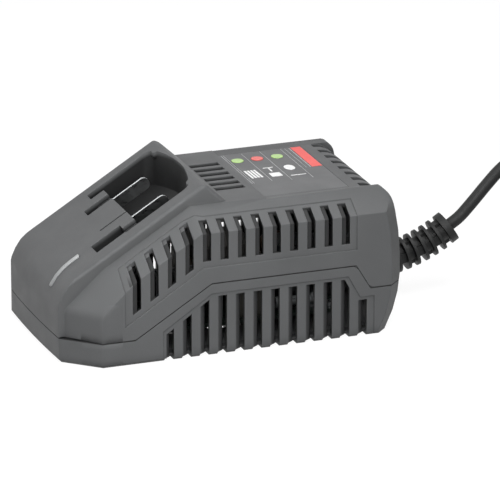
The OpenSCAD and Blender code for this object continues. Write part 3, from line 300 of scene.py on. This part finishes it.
class Nodes:
    """A new material and a short hand for its nodes; sizes and positions are in metres."""

    def __init__(self, name):
        self.mat = bpy.data.materials.new(name)
        self.mat.use_nodes = True
        self.tree = self.mat.node_tree
        self.bsdf = self.tree.nodes["Principled BSDF"]
        self.coord = self.tree.nodes.new("ShaderNodeTexCoord").outputs["Object"]

    def node(self, kind, **props):
        n = self.tree.nodes.new(kind)
        for key, value in props.items():
            setattr(n, key, value)
        return n

    def link(self, a, b):
        self.tree.links.new(a, b)

    def axis(self, name):
        n = self.node("ShaderNodeSeparateXYZ")
        self.link(self.coord, n.inputs[0])
        return n.outputs[name]

    def noise(self, size, detail=3.0, rough=0.5, stretch=None):
        """Noise with grains about so large, drawn out where an axis of stretch is under 1."""
        n = self.node("ShaderNodeTexNoise")
        n.inputs["Scale"].default_value = 1 / size
        n.inputs["Detail"].default_value = detail
        n.inputs["Roughness"].default_value = rough
        src = self.coord
        if stretch:
            m = self.node("ShaderNodeMapping")
            m.inputs["Scale"].default_value = stretch
            self.link(src, m.inputs[0])
            src = m.outputs[0]
        self.link(src, n.inputs["Vector"])
        return n.outputs["Fac"]

    def wave(self, size, direction):
        """Straight bands along one axis."""
        n = self.node("ShaderNodeTexWave", bands_direction=direction)
        n.inputs["Scale"].default_value = 1 / size
        self.link(self.coord, n.inputs["Vector"])
        return n.outputs["Fac"]

    def spread(self, value, low, high, to_low=0.0, to_high=1.0):
        """Maps low and high to two other values, and what lies past them to the nearer one."""
        n = self.node("ShaderNodeMapRange")
        self.link(value, n.inputs["Value"])
        for key, v in zip(("From Min", "From Max", "To Min", "To Max"), (low, high, to_low, to_high)):
            n.inputs[key].default_value = v
        return n.outputs["Result"]

    def math(self, op, a, b=None):
        n = self.node("ShaderNodeMath", operation=op)
        for i, v in enumerate((a, b)):
            if v is None:
                continue
            if isinstance(v, (int, float)):
                n.inputs[i].default_value = v
            else:
                self.link(v, n.inputs[i])
        return n.outputs[0]

    def between(self, value, low, high):
        """1 where a value lies between two others."""
        return self.math("MULTIPLY", self.math("GREATER_THAN", value, low),
                         self.math("LESS_THAN", value, high))

    def mix(self, fac, a, b):
        n = self.node("ShaderNodeMix", data_type="RGBA")
        self.link(fac, n.inputs["Factor"])
        for key, v in ((6, a), (7, b)):
            if isinstance(v, tuple):
                n.inputs[key].default_value = v
            else:
                self.link(v, n.inputs[key])
        return n.outputs[2]

    def bump(self, height, strength, distance, normal=None):
        n = self.node("ShaderNodeBump")
        n.inputs["Strength"].default_value = strength
        n.inputs["Distance"].default_value = distance
        self.link(height, n.inputs["Height"])
        if normal:
            self.link(normal, n.inputs["Normal"])
        return n.outputs["Normal"]

    def soft_edge(self, radius):
        """The normal with edges rounded by a plain radius or by one that a node gives."""
        n = self.node("ShaderNodeBevel", samples=6)
        if isinstance(radius, float):
            n.inputs["Radius"].default_value = radius
        else:
            self.link(radius, n.inputs["Radius"])
        return n.outputs["Normal"]

    def edge_mask(self, radius):
        """1 along sharp edges, from how far the rounded normal turns from the true one."""
        geo = self.node("ShaderNodeNewGeometry")
        dot = self.node("ShaderNodeVectorMath", operation="DOT_PRODUCT")
        self.link(self.soft_edge(radius), dot.inputs[0])
        self.link(geo.outputs["Normal"], dot.inputs[1])
        return self.spread(self.math("SUBTRACT", 1.0, dot.outputs["Value"]), 0.02, 0.13)

    def plate_edge(self):
        """1 on the cut edge of a plate that stands square to Y."""
        geo = self.node("ShaderNodeNewGeometry")
        n = self.node("ShaderNodeSeparateXYZ")
        self.link(geo.outputs["True Normal"], n.inputs[0])
        return self.spread(self.math("ABSOLUTE", n.outputs["Y"]), 0.4, 0.8, 1.0, 0.0)

    def combine(self, op, *values):
        """Joins several values with one operation."""
        out = values[0]
        for v in values[1:]:
            out = self.math(op, out, v)
        return out

    def hollow(self, reach, low, high):
        """1 deep in hollows and inside the housing, 0 in the open."""
        n = self.node("ShaderNodeAmbientOcclusion", samples=12)
        n.inputs["Distance"].default_value = reach
        return self.spread(n.outputs["AO"], low, high, 1.0, 0.0)


def shade(color, factor):
    """The colour made lighter or darker."""
    return tuple(min(1, c * factor) for c in color[:3]) + (1.0,)


def plastic(name, color, rough=0.5, grain=0.0004, grain_bump=0.25, mottle=0.05, edge=0.0004,
            wear_and_highlight=0.3, spec=0.5, painted_hollow_shade=0.0, reach=0.02, recolor=None, painted_recess_shade=None, edge_at=None):
    """Moulded plastic or rubber: spark-eroded grain, faint mottling, edges lit by wear and painted
    highlight, painted shade in hollows.

    recolor gives another colour over the mottling, the recess function a share of painted shade, edge_at
    the edges' radius.
    """
    k = Nodes(name)
    base = srgb(color)
    broad = k.spread(k.noise(0.03, 2), 0.35, 0.65)
    fine = k.noise(grain, 2, 0.6)
    col = k.mix(broad, shade(base, 1 - mottle), shade(base, 1 + mottle))
    if recolor:
        col = recolor(k, col)
    else:
        col = k.mix(k.spread(fine, 0.3, 0.7, 0.0, 0.3), col, shade(base, 0.85))
    # Lighter edges: partly rubbed wear, partly a painted highlight along the folds
    if wear_and_highlight:
        patches = k.spread(k.noise(0.004, 4, 0.7), 0.4, 0.62, 0.25, 1.0)
        wear_and_highlight_mask = k.math("MULTIPLY", k.edge_mask(edge * 1.3), patches)
        col = k.mix(k.math("MULTIPLY", wear_and_highlight_mask, wear_and_highlight), col, shade(base, 1.7))
    # Painted shade deep in hollows and inside the housing, from ambient occlusion
    if painted_hollow_shade:
        col = k.mix(k.math("MULTIPLY", k.hollow(reach, 0.2, 0.94), painted_hollow_shade), col, shade(base, 0.06))
    # Painted shade at set places: vent pockets, the dock's well, louvres and the seam
    if painted_recess_shade:
        col = k.mix(painted_recess_shade(k), col, shade(base, 0.1))
    k.link(col, k.bsdf.inputs["Base Color"])
    r = k.math("ADD", k.spread(k.noise(0.012, 3), 0.3, 0.7, rough - 0.04, rough + 0.05),
               k.spread(fine, 0.3, 0.7, -0.03, 0.03))
    k.link(r, k.bsdf.inputs["Roughness"])
    k.bsdf.inputs["Specular IOR Level"].default_value = spec
    k.link(k.bump(fine, grain_bump, grain * 0.35, k.soft_edge(edge_at(k) if edge_at else edge)),
           k.bsdf.inputs["Normal"])
    return k


def metal(name, color, rough=0.25, brush=(1, 1, 1), edge=0.00025, painted_hollow_shade=0.9, rim_highlight=0.0):
    """Drawn or plated metal with fine streaks and painted shade in its hollows.

    The last argument makes the cut edge of a plate so many times brighter and less mirror-like: a painted
    highlight.
    """
    k = Nodes(name)
    base = srgb(color)
    streak = k.noise(0.0006, 3, 0.6, stretch=brush)
    col = k.mix(k.spread(streak, 0.3, 0.7), shade(base, 0.88), shade(base, 1.05))
    # Painted shade in the metal's hollows, from ambient occlusion
    col = k.mix(k.math("MULTIPLY", k.hollow(0.012, 0.1, 0.9), painted_hollow_shade), col, shade(base, 0.08))
    k.bsdf.inputs["Metallic"].default_value = 1.0
    # Painted highlight: the plate's cut edge is made lighter than the metal
    if rim_highlight:
        highlight_rim = k.plate_edge()
        col = k.mix(highlight_rim, col, shade(base, rim_highlight))
        k.link(k.spread(highlight_rim, 0, 1, 1, 0.35), k.bsdf.inputs["Metallic"])
    k.link(col, k.bsdf.inputs["Base Color"])
    k.link(k.spread(streak, 0.3, 0.7, rough - 0.06, rough + 0.1), k.bsdf.inputs["Roughness"])
    k.link(k.bump(streak, 0.03, 0.00005, k.soft_edge(edge)), k.bsdf.inputs["Normal"])
    return k


def dress(k, *names):
    """Puts a material on CAD nodes."""
    for name in names:
        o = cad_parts[name]
        if not o.material_slots:
            o.data.materials.append(k.mat)
        for s in o.material_slots:
            s.material = k.mat


# The middle of the three windows along X, in metres
RED_WINDOW = (0.0323, 0.0426)


def window_colour(k, col):
    """The middle window is red and the other two are green."""
    red = k.between(k.axis("X"), *RED_WINDOW)
    return k.mix(red, srgb("#b3d985"), srgb("#ee5f58"))


# The planes that bound the housing, in metres: the dock's ramp and fall, the deck and the side walls
RAMP_ANGLE = math.radians(31.4)
CREST = (-0.0108, 0.0821)
DECK_TOP = 0.0717
FALL_ANGLE = math.radians(42.8)
HALF_WIDTH = 0.0525
SHOULDER_HALF = 0.038
SHOULDER_DROP = 0.0093
RAIL_HEIGHT = 0.0058


def below_ramp(k):
    """How deep a point lies under the dock's sloping top, square to it."""
    rise = k.math("MULTIPLY", k.math("SUBTRACT", CREST[0], k.axis("X")), math.tan(RAMP_ANGLE))
    top = k.math("SUBTRACT", CREST[1], rise)
    return k.math("MULTIPLY", k.math("SUBTRACT", top, k.axis("Z")), math.cos(RAMP_ANGLE))


def below_fall(k):
    """How deep a point lies under the slope behind the crest, square to it."""
    drop = k.math("MULTIPLY", k.math("SUBTRACT", k.axis("X"), CREST[0]), math.tan(FALL_ANGLE))
    top = k.math("SUBTRACT", CREST[1], drop)
    return k.math("MULTIPLY", k.math("SUBTRACT", top, k.axis("Z")), math.cos(FALL_ANGLE))


def below_sides(k):
    """How deep a point lies under the side wall or the shoulder over it."""
    out = k.math("ABSOLUTE", k.axis("Y"))
    wall = k.math("SUBTRACT", HALF_WIDTH, out)
    slope = SHOULDER_DROP / (HALF_WIDTH - SHOULDER_HALF)
    fall = k.math("MULTIPLY", k.math("SUBTRACT", out, SHOULDER_HALF), slope)
    tilt = math.cos(math.atan(slope))
    level = k.math("SUBTRACT", k.math("SUBTRACT", DECK_TOP, fall), k.axis("Z"))
    ramp = k.math("SUBTRACT", k.math("SUBTRACT", below_ramp(k), RAIL_HEIGHT * math.cos(RAMP_ANGLE)),
                  k.math("MULTIPLY", fall, math.cos(RAMP_ANGLE)))
    shoulder = k.math("MULTIPLY", k.math("MINIMUM", level, ramp), tilt)
    return k.math("MINIMUM", wall, shoulder)


# The seam between the shells: its height at the nose, and from where to where along X it rises and
# falls again, and by how much
SEAM_LOW = 0.0129
SEAM_RISE = (-0.0516, -0.0129, 0.0239)
SEAM_FALL = (0.0609, 0.0682, 0.0121)

# Where the hollows with painted shade lie: their reach along X, and how far from the middle plane they
# end or begin
VENTS_X, VENTS_FROM = (-0.054, 0.072), 0.0443
DOCK_X, DOCK_TO = (-0.066, -0.002), 0.0296
LOUVRES_X, LOUVRES_TO = (0.0005, 0.0165), 0.027


def seam_shade(k):
    """Painted shade along the gap between the shells."""
    rise = k.spread(k.axis("X"), SEAM_RISE[0], SEAM_RISE[1], 0.0, SEAM_RISE[2])
    fall = k.spread(k.axis("X"), SEAM_FALL[0], SEAM_FALL[1], 0.0, SEAM_FALL[2])
    line = k.math("SUBTRACT", k.math("ADD", SEAM_LOW, rise), fall)
    away = k.math("ABSOLUTE", k.math("SUBTRACT", k.axis("Z"), line))
    return k.spread(away, 0.0002, 0.00045, 0.9, 0.0)


def vent_shade(k, depth):
    """Painted shade in the pockets of the side vents."""
    return k.combine("MULTIPLY", k.spread(below_sides(k), 0.0006, 0.0012, 0.0, depth),
                     k.between(k.axis("X"), *VENTS_X),
                     k.math("GREATER_THAN", k.math("ABSOLUTE", k.axis("Y")), VENTS_FROM))


def lower_painted_shade(k):
    """Share of painted shade in the lower vents and the seam."""
    return k.math("MAXIMUM", vent_shade(k, 0.6), seam_shade(k))


def upper_painted_shade(k):
    """Share of painted shade in the upper vents, the dock's well and slots, the louvres and the seam."""
    x, side = k.axis("X"), k.math("ABSOLUTE", k.axis("Y"))
    under = k.math("MINIMUM", below_ramp(k), below_fall(k))
    dock = k.combine("MULTIPLY", k.spread(under, 0.0007, 0.0022, 0.0, 0.97),
                     k.between(x, *DOCK_X), k.math("LESS_THAN", side, DOCK_TO))
    sunk = k.spread(k.math("SUBTRACT", DECK_TOP, k.axis("Z")), 0.0005, 0.0014, 0.0, 0.85)
    louvres = k.combine("MULTIPLY", sunk, k.between(x, *LOUVRES_X), k.math("LESS_THAN", side, LOUVRES_TO))
    return k.combine("MAXIMUM", vent_shade(k, 0.93), dock, louvres, seam_shade(k))


def terminal_painted_shade(k):
    """Share of painted shade on the terminal block under its lid."""
    return k.spread(below_ramp(k), 0.0016, 0.004, 0.0, 0.93)


# The housing's edges look rounded by EDGE, and by more on its slanted front corners and on the peaks
# beside the well; each lies in a reach along X, under or over a height, outside a half width
EDGE = 0.0006
CORNER_X, CORNER_UNDER, CORNER_FROM, CORNER_MORE = (-0.076, -0.058), 0.032, 0.042, 0.0045
PEAK_X, PEAK_OVER, PEAK_FROM, PEAK_MORE = (-0.02, -0.002), 0.072, 0.028, 0.0014


def housing_edge(k):
    """Radius of the housing's edges."""
    front = k.between(k.axis("X"), *CORNER_X)
    low = k.math("LESS_THAN", k.axis("Z"), CORNER_UNDER)
    outer = k.math("GREATER_THAN", k.math("ABSOLUTE", k.axis("Y")), CORNER_FROM)
    corner = k.combine("MULTIPLY", front, low, outer)
    peak = k.combine("MULTIPLY", k.between(k.axis("X"), *PEAK_X),
                     k.math("GREATER_THAN", k.axis("Z"), PEAK_OVER),
                     k.math("GREATER_THAN", k.math("ABSOLUTE", k.axis("Y")), PEAK_FROM))
    more = k.math("ADD", k.math("MULTIPLY", corner, CORNER_MORE), k.math("MULTIPLY", peak, PEAK_MORE))
    return k.math("ADD", EDGE, more)


def housing_plastic(name, painted_recess_shade):
    """The shells' dark grey plastic with the painted shade of one shell's hollows."""
    return plastic(name, "#5a5b5c", rough=0.52, spec=0.3, edge=EDGE, wear_and_highlight=0.35, painted_hollow_shade=0.7, reach=0.007,
                   painted_recess_shade=painted_recess_shade, edge_at=housing_edge)


def bar_painted_shade(k, col):
    """The light bar is darker towards the nose: painted shade."""
    low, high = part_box("dock_light_bar")
    return k.mix(k.spread(k.axis("X"), low[0], high[0], 0.55, 0.0), col, srgb("#5d5f60"))


dress(housing_plastic("lower_housing", lower_painted_shade), "lower_shell")
dress(housing_plastic("upper_housing", upper_painted_shade), "upper_shell")
dress(plastic("label_film", "#494a4c", rough=0.34, grain=0.0003, grain_bump=0.06, mottle=0.03, wear_and_highlight=0,
              edge=0.0002), "indicator_label")
dress(plastic("window_lens", "#a9d97c", rough=0.22, grain=0.0006, grain_bump=0.04, mottle=0.03, wear_and_highlight=0,
              edge=0.0006, recolor=window_colour), "light_guides")
dress(plastic("light_bar_lens", "#b4b6b7", rough=0.3, grain=0.0005, grain_bump=0.05, mottle=0.02, wear_and_highlight=0,
              edge=0.0008, recolor=bar_painted_shade), "dock_light_bar")
dress(plastic("terminal_plastic", "#68696a", rough=0.5, spec=0.3, edge=0.0004, painted_hollow_shade=0.8, reach=0.006,
              painted_recess_shade=terminal_painted_shade), "terminal_block")
dress(metal("nickel_blade", "#8f9192", rough=0.3, brush=(0.15, 1, 0.4), edge=0.00008, painted_hollow_shade=0.85,
            rim_highlight=2.6), "positive_blade", "negative_blade")
dress(metal("zinc_screw", "#a9acae", rough=0.35), "housing_screws", "board_screws", "clamp_screws")
rubber = plastic("cord_rubber", "#161717", rough=0.5, spec=0.32, grain=0.0005, grain_bump=0.15,
                 wear_and_highlight=0.12, edge=0.0003, painted_hollow_shade=0.7, reach=0.006)
cord.data.materials.append(rubber.mat)
dress(rubber, "strain_relief", "plug_body", "inner_cord")
dress(plastic("foot_rubber", "#242526", rough=0.7, grain=0.0007, grain_bump=0.4), "rubber_feet")
dress(plastic("circuit_board", "#2c3a33", rough=0.3, grain=0.0012, painted_hollow_shade=0.8, reach=0.03),
      "main_board", "indicator_board")
dress(plastic("ferrite", "#3a3836", rough=0.6, painted_hollow_shade=0.8), "transformer_core")
dress(plastic("winding_tape", "#5d564b", rough=0.4, painted_hollow_shade=0.8), "transformer_winding")
dress(plastic("capacitor_sleeve", "#25282c", rough=0.3, painted_hollow_shade=0.8), "bulk_capacitor", "output_capacitors")
dress(metal("enamelled_wire", "#4f443b", rough=0.3), "line_choke")
dress(plastic("film_capacitor_case", "#5c5b52", rough=0.35, painted_hollow_shade=0.8), "filter_capacitor")
dress(plastic("fuse_tube", "#9fa3a5", rough=0.15, painted_hollow_shade=0.8), "line_fuse")
dress(plastic("device_epoxy", "#1d1f20", rough=0.5, painted_hollow_shade=0.8),
      "bridge_rectifier", "switching_transistor", "output_diode")
dress(metal("heatsink_aluminium", "#7f8284", rough=0.45, brush=(1, 1, 0.15)),
      "primary_heatsink", "secondary_heatsink")
dress(plastic("led_lens", "#c9d2c4", rough=0.15, painted_hollow_shade=0.8), "indicator_leds")
dress(plastic("ribbon_insulation", "#7d8082", rough=0.4, painted_hollow_shade=0.8), "ribbon_cable")
dress(plastic("red_insulation", "#7c2520", rough=0.35, painted_hollow_shade=0.8), "positive_lead")
dress(plastic("black_insulation", "#1c1d1e", rough=0.35, painted_hollow_shade=0.8), "negative_lead")
dress(plastic("brown_insulation", "#4c3222", rough=0.35, painted_hollow_shade=0.8), "live_lead")
dress(plastic("blue_insulation", "#24405f", rough=0.35, painted_hollow_shade=0.8), "neutral_lead")
dress(plastic("clamp_plastic", "#3e4042", rough=0.5, painted_hollow_shade=0.8), "cord_clamp")


# Where the pins' plastic sleeves end, along X in metres
SLEEVED_FROM = 0.1642


def pin_metal():
    """Round pins whose roots are sleeved in black plastic."""
    k = Nodes("sleeved_pin")
    sleeve = k.math("GREATER_THAN", k.axis("X"), SLEEVED_FROM)
    streak = k.noise(0.0006, 3, 0.6, stretch=(0.15, 1, 1))
    nickel = k.mix(k.spread(streak, 0.3, 0.7), srgb("#b9bcbe"), srgb("#d9dbdc"))
    k.link(k.mix(sleeve, nickel, srgb("#1c1d1e")), k.bsdf.inputs["Base Color"])
    k.link(k.math("SUBTRACT", 1.0, sleeve), k.bsdf.inputs["Metallic"])
    k.link(k.spread(streak, 0.3, 0.7, 0.2, 0.36), k.bsdf.inputs["Roughness"])
    k.link(k.bump(streak, 0.06, 0.00008, k.soft_edge(0.0003)), k.bsdf.inputs["Normal"])
    return k


dress(pin_metal(), "plug_pins")


# ---------------------------------------------------------------- pieces made here


def piece(name, bm, k, smooth=False):
    """A finished piece that rides on the housing."""
    mesh = bpy.data.meshes.new(name)
    bmesh.ops.recalc_face_normals(bm, faces=bm.faces)
    bm.to_mesh(mesh)
    bm.free()
    o = bpy.data.objects.new(name, mesh)
    scene.collection.objects.link(o)
    mesh.materials.append(k.mat)
    if smooth:
        mesh.shade_smooth()
        smooth_solid(o)
    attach(o, "root")
    return o


def prism(bm, outline, low, high):
    """Adds an upright prism over an outline in XY; all in millimetres."""
    rings = [[bm.verts.new(mm(x, y, z)) for x, y in outline] for z in (low, high)]
    n = len(outline)
    bm.faces.new(reversed(rings[0]))
    bm.faces.new(rings[1])
    for i in range(n):
        bm.faces.new((rings[0][i], rings[0][(i + 1) % n], rings[1][(i + 1) % n], rings[1][i]))


def strip(a, b, width):
    """Outline of a straight band between two points."""
    d = (Vector(b) - Vector(a)).normalized() * width / 2
    return [(a[0] - d.y, a[1] + d.x), (a[0] + d.y, a[1] - d.x),
            (b[0] + d.y, b[1] - d.x), (b[0] - d.y, b[1] + d.x)]


def disc(x, y, rx, ry, n=28):
    """Outline of an ellipse."""
    return [(x + rx * math.cos(2 * math.pi * i / n), y + ry * math.sin(2 * math.pi * i / n))
            for i in range(n)]


def rounded_box(x0, y0, x1, y1, r, n=5):
    """Outline of a rectangle with n facets on each corner."""
    out = []
    corners = ((x1 - r, y1 - r, 0), (x0 + r, y1 - r, 90), (x0 + r, y0 + r, 180), (x1 - r, y0 + r, 270))
    for cx, cy, a0 in corners:
        for i in range(n + 1):
            a = math.radians(a0 + 90 * i / n)
            out.append((cx + r * math.cos(a), cy + r * math.sin(a)))
    return out


# The label's top, and how far its print stands out of the film and reaches into it, in millimetres
LABEL_TOP = 70.5
PRINT_OUT = 0.05
PRINT_IN = 0.03


def print_marks(name, outlines, k):
    """Flat print on the label, as one piece."""
    bm = bmesh.new()
    for outline in outlines:
        prism(bm, outline, LABEL_TOP - PRINT_IN, LABEL_TOP + PRINT_OUT)
    return piece(name, bm, k)


def ink(name, color, mottle=0.05):
    """Matt printing ink."""
    return plastic(name, color, rough=0.4, grain=0.0004, grain_bump=0.1, mottle=mottle, wear_and_highlight=0)


white_ink = ink("white_ink", "#fafafa", mottle=0.03)
pale_ink = ink("pale_line_ink", "#b7b8b9")
red_ink = ink("red_ink", "#f05a55")

# Lines between the windows' columns, a plain mark under each window and a bare red band
print_marks("label_lines", [
    strip((22.1, 31.5), (22.1, -13), 0.35), strip((23.2, 31.5), (23.2, -13), 0.3),
    strip((32.6, 31.5), (32.6, -12.2), 0.35), strip((42.2, 31.5), (42.2, -14), 0.35),
    strip((53.2, 31.8), (53.2, -14), 0.35), strip((55.4, 31.8), (55.4, 1.2), 0.3),
    strip((57.6, 31.8), (57.6, 1.2), 0.5),
], pale_ink)
bars_at = [24.7 + i * 1.65 for i in range(4)]
bars = [[(x, -5.6), (x + 1.15, -5.6), (x + 0.85, 6.2), (x - 0.3, 6.2)] for x in bars_at]
print_marks("label_marks", bars + [
    rounded_box(34.8, -6.6, 40.4, -1.1, 0.5),
    strip((34.9, 7.1), (40.0, 7.1), 0.9), strip((37.5, 7.1), (37.5, 1.2), 0.9),
    disc(47.6, 4.1, 2.7, 3.9), strip((44.0, -7.7), (51.8, -7.7), 0.9),
], white_ink)
print_marks("label_band", [[(58.4, 1.3), (63.7, 1.3), (63.7, 32.3), (58.4, 32.3)]], red_ink)


# Hook-and-loop strap drawn close round the loops on the side of the coil away from the housing: its gap
# to the loops, thickness and width, then its middle, half length and top, all in millimetres
LOOPS_AT = [coil_point(i + 0.25)[0] for i in range(int(COIL_TURNS) + 1)]
TIE_GAP = 0.3
TIE_T = 0.8
TIE_W = 8
TIE_X = (min(LOOPS_AT) + max(LOOPS_AT)) / 2
TIE_HALF = (max(LOOPS_AT) - min(LOOPS_AT)) / 2 + CORD_D / 2 + TIE_GAP
TIE_TOP = COIL_LOW + COIL_STEP * (COIL_LAYERS - 1) + CORD_D / 2 + TIE_GAP


def strap_section(p, out, w, t):
    """A flat oval across the strap at p; out points away from the bundle, in XZ."""
    px, pz = p
    ox, oz = out
    half = w / 2
    oval = [(-half, t * 0.5), (-half + 0.25, t * 0.92), (-half + 0.8, t), (0, t * 1.04),
            (half - 0.8, t), (half - 0.25, t * 0.92), (half, t * 0.5), (half - 0.3, 0.05), (0, 0),
            (-half + 0.3, 0.05)]
    return [(TIE_X + px + ox * v, COIL_AT[1] + u, pz + oz * v) for u, v in oval]


def skin(bm, rings, closed=False):
    """Joins rings of corners into one surface, and closes its ends unless it runs round."""
    n, m = len(rings), len(rings[0])
    for i in range(n if closed else n - 1):
        a, b = rings[i], rings[(i + 1) % n]
        for j in range(m):
            bm.faces.new((a[j], a[(j + 1) % m], b[(j + 1) % m], b[j]))
    if not closed:
        bm.faces.new(rings[0])
        bm.faces.new(reversed(rings[-1]))


def strap(bm, path, closed, w, t):
    """A strap of width w and thickness t along a path in XZ."""
    n = len(path)
    rings = []
    for i, p in enumerate(path):
        a = path[(i - 1) % n] if closed or i else path[0]
        b = path[(i + 1) % n] if closed or i < n - 1 else path[-1]
        d = Vector((b[0] - a[0], b[1] - a[1])).normalized()
        rings.append([bm.verts.new(mm(*q)) for q in strap_section(p, (d.y, -d.x), w, t)])
    skin(bm, rings, closed)


def strap_material():
    """Dark woven strap with a light fuzz."""
    k = Nodes("strap_weave")
    weave = k.math("MAXIMUM", k.wave(0.0011, "Y"), k.wave(0.0013, "X"))
    fuzz = k.noise(0.0005, 4, 0.7)
    col = k.mix(k.spread(weave, 0.2, 0.9), srgb("#1b1c1d"), srgb("#37393b"))
    col = k.mix(k.spread(fuzz, 0.45, 0.7, 0, 0.4), col, srgb("#55585a"))
    k.link(col, k.bsdf.inputs["Base Color"])
    k.bsdf.inputs["Roughness"].default_value = 0.85
    k.bsdf.inputs["Sheen Weight"].default_value = 0.3
    k.link(k.bump(fuzz, 0.4, 0.0002, k.bump(weave, 0.5, 0.0003)), k.bsdf.inputs["Normal"])
    return k


bm = bmesh.new()
inner = rounded_box(-TIE_HALF, TIE_T, TIE_HALF, TIE_TOP, CORD_D / 2 + TIE_GAP, 8)
strap(bm, inner, True, TIE_W, TIE_T)
# Its free end lies flat on top, a little narrower and thinner
fold_end = TIE_HALF - CORD_D / 2
fold = [(fold_end - i * fold_end / 3, TIE_TOP + TIE_T * 0.98) for i in range(6)]
strap(bm, fold, False, TIE_W - 0.6, TIE_T * 0.35)
tie = piece("coil_strap", bm, strap_material(), smooth=True)
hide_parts("cord_tie")


# Ribbed sleeve where the lead enters the plug, in millimetres: where it begins and ends along X, its
# bore there, and the ribs' pitch, number, first radius, taper and depth
SLEEVE_FROM = 211.6
SLEEVE_TO = 224.8
SLEEVE_BORE = 3.0
SLEEVE_END = 3.35
RIB_PITCH = 2.6
RIBS = 5
RIB_RADIUS = 4.9
RIB_TAPER = 0.32
RIB_DEPTH = 0.8
SLEEVE_SIDES = 28

profile = [(SLEEVE_FROM, SLEEVE_BORE)]
for i in range(RIBS):
    x = SLEEVE_FROM + i * RIB_PITCH
    r = RIB_RADIUS - i * RIB_TAPER
    profile += [(x, r - RIB_DEPTH), (x + 0.25, r), (x + 1.35, r), (x + 1.6, r - RIB_DEPTH)]
profile += [(SLEEVE_TO, SLEEVE_END), (SLEEVE_TO, SLEEVE_BORE)]
centre = smooth_line(TAIL[::-1], ROUTE_CUTS)


def sleeve_centre(x):
    """Where the lead's middle lies in Y and Z at a place along X."""
    best = min(range(len(centre) - 1), key=lambda i: abs(centre[i].x - x))
    a, b = centre[best], centre[best + 1]
    if x < a.x and best:
        a, b = centre[best - 1], centre[best]
    t = (x - a.x) / (b.x - a.x)
    return a.y + (b.y - a.y) * t, a.z + (b.z - a.z) * t


bm = bmesh.new()
rings = []
for x, r in profile:
    y, z = sleeve_centre(x)
    turns = [2 * math.pi * j / SLEEVE_SIDES for j in range(SLEEVE_SIDES)]
    rings.append([bm.verts.new(mm(x, y + r * math.cos(a), z + r * math.sin(a))) for a in turns])
skin(bm, rings)
piece("plug_sleeve", bm, rubber, smooth=True)

bpy.context.view_layer.update()
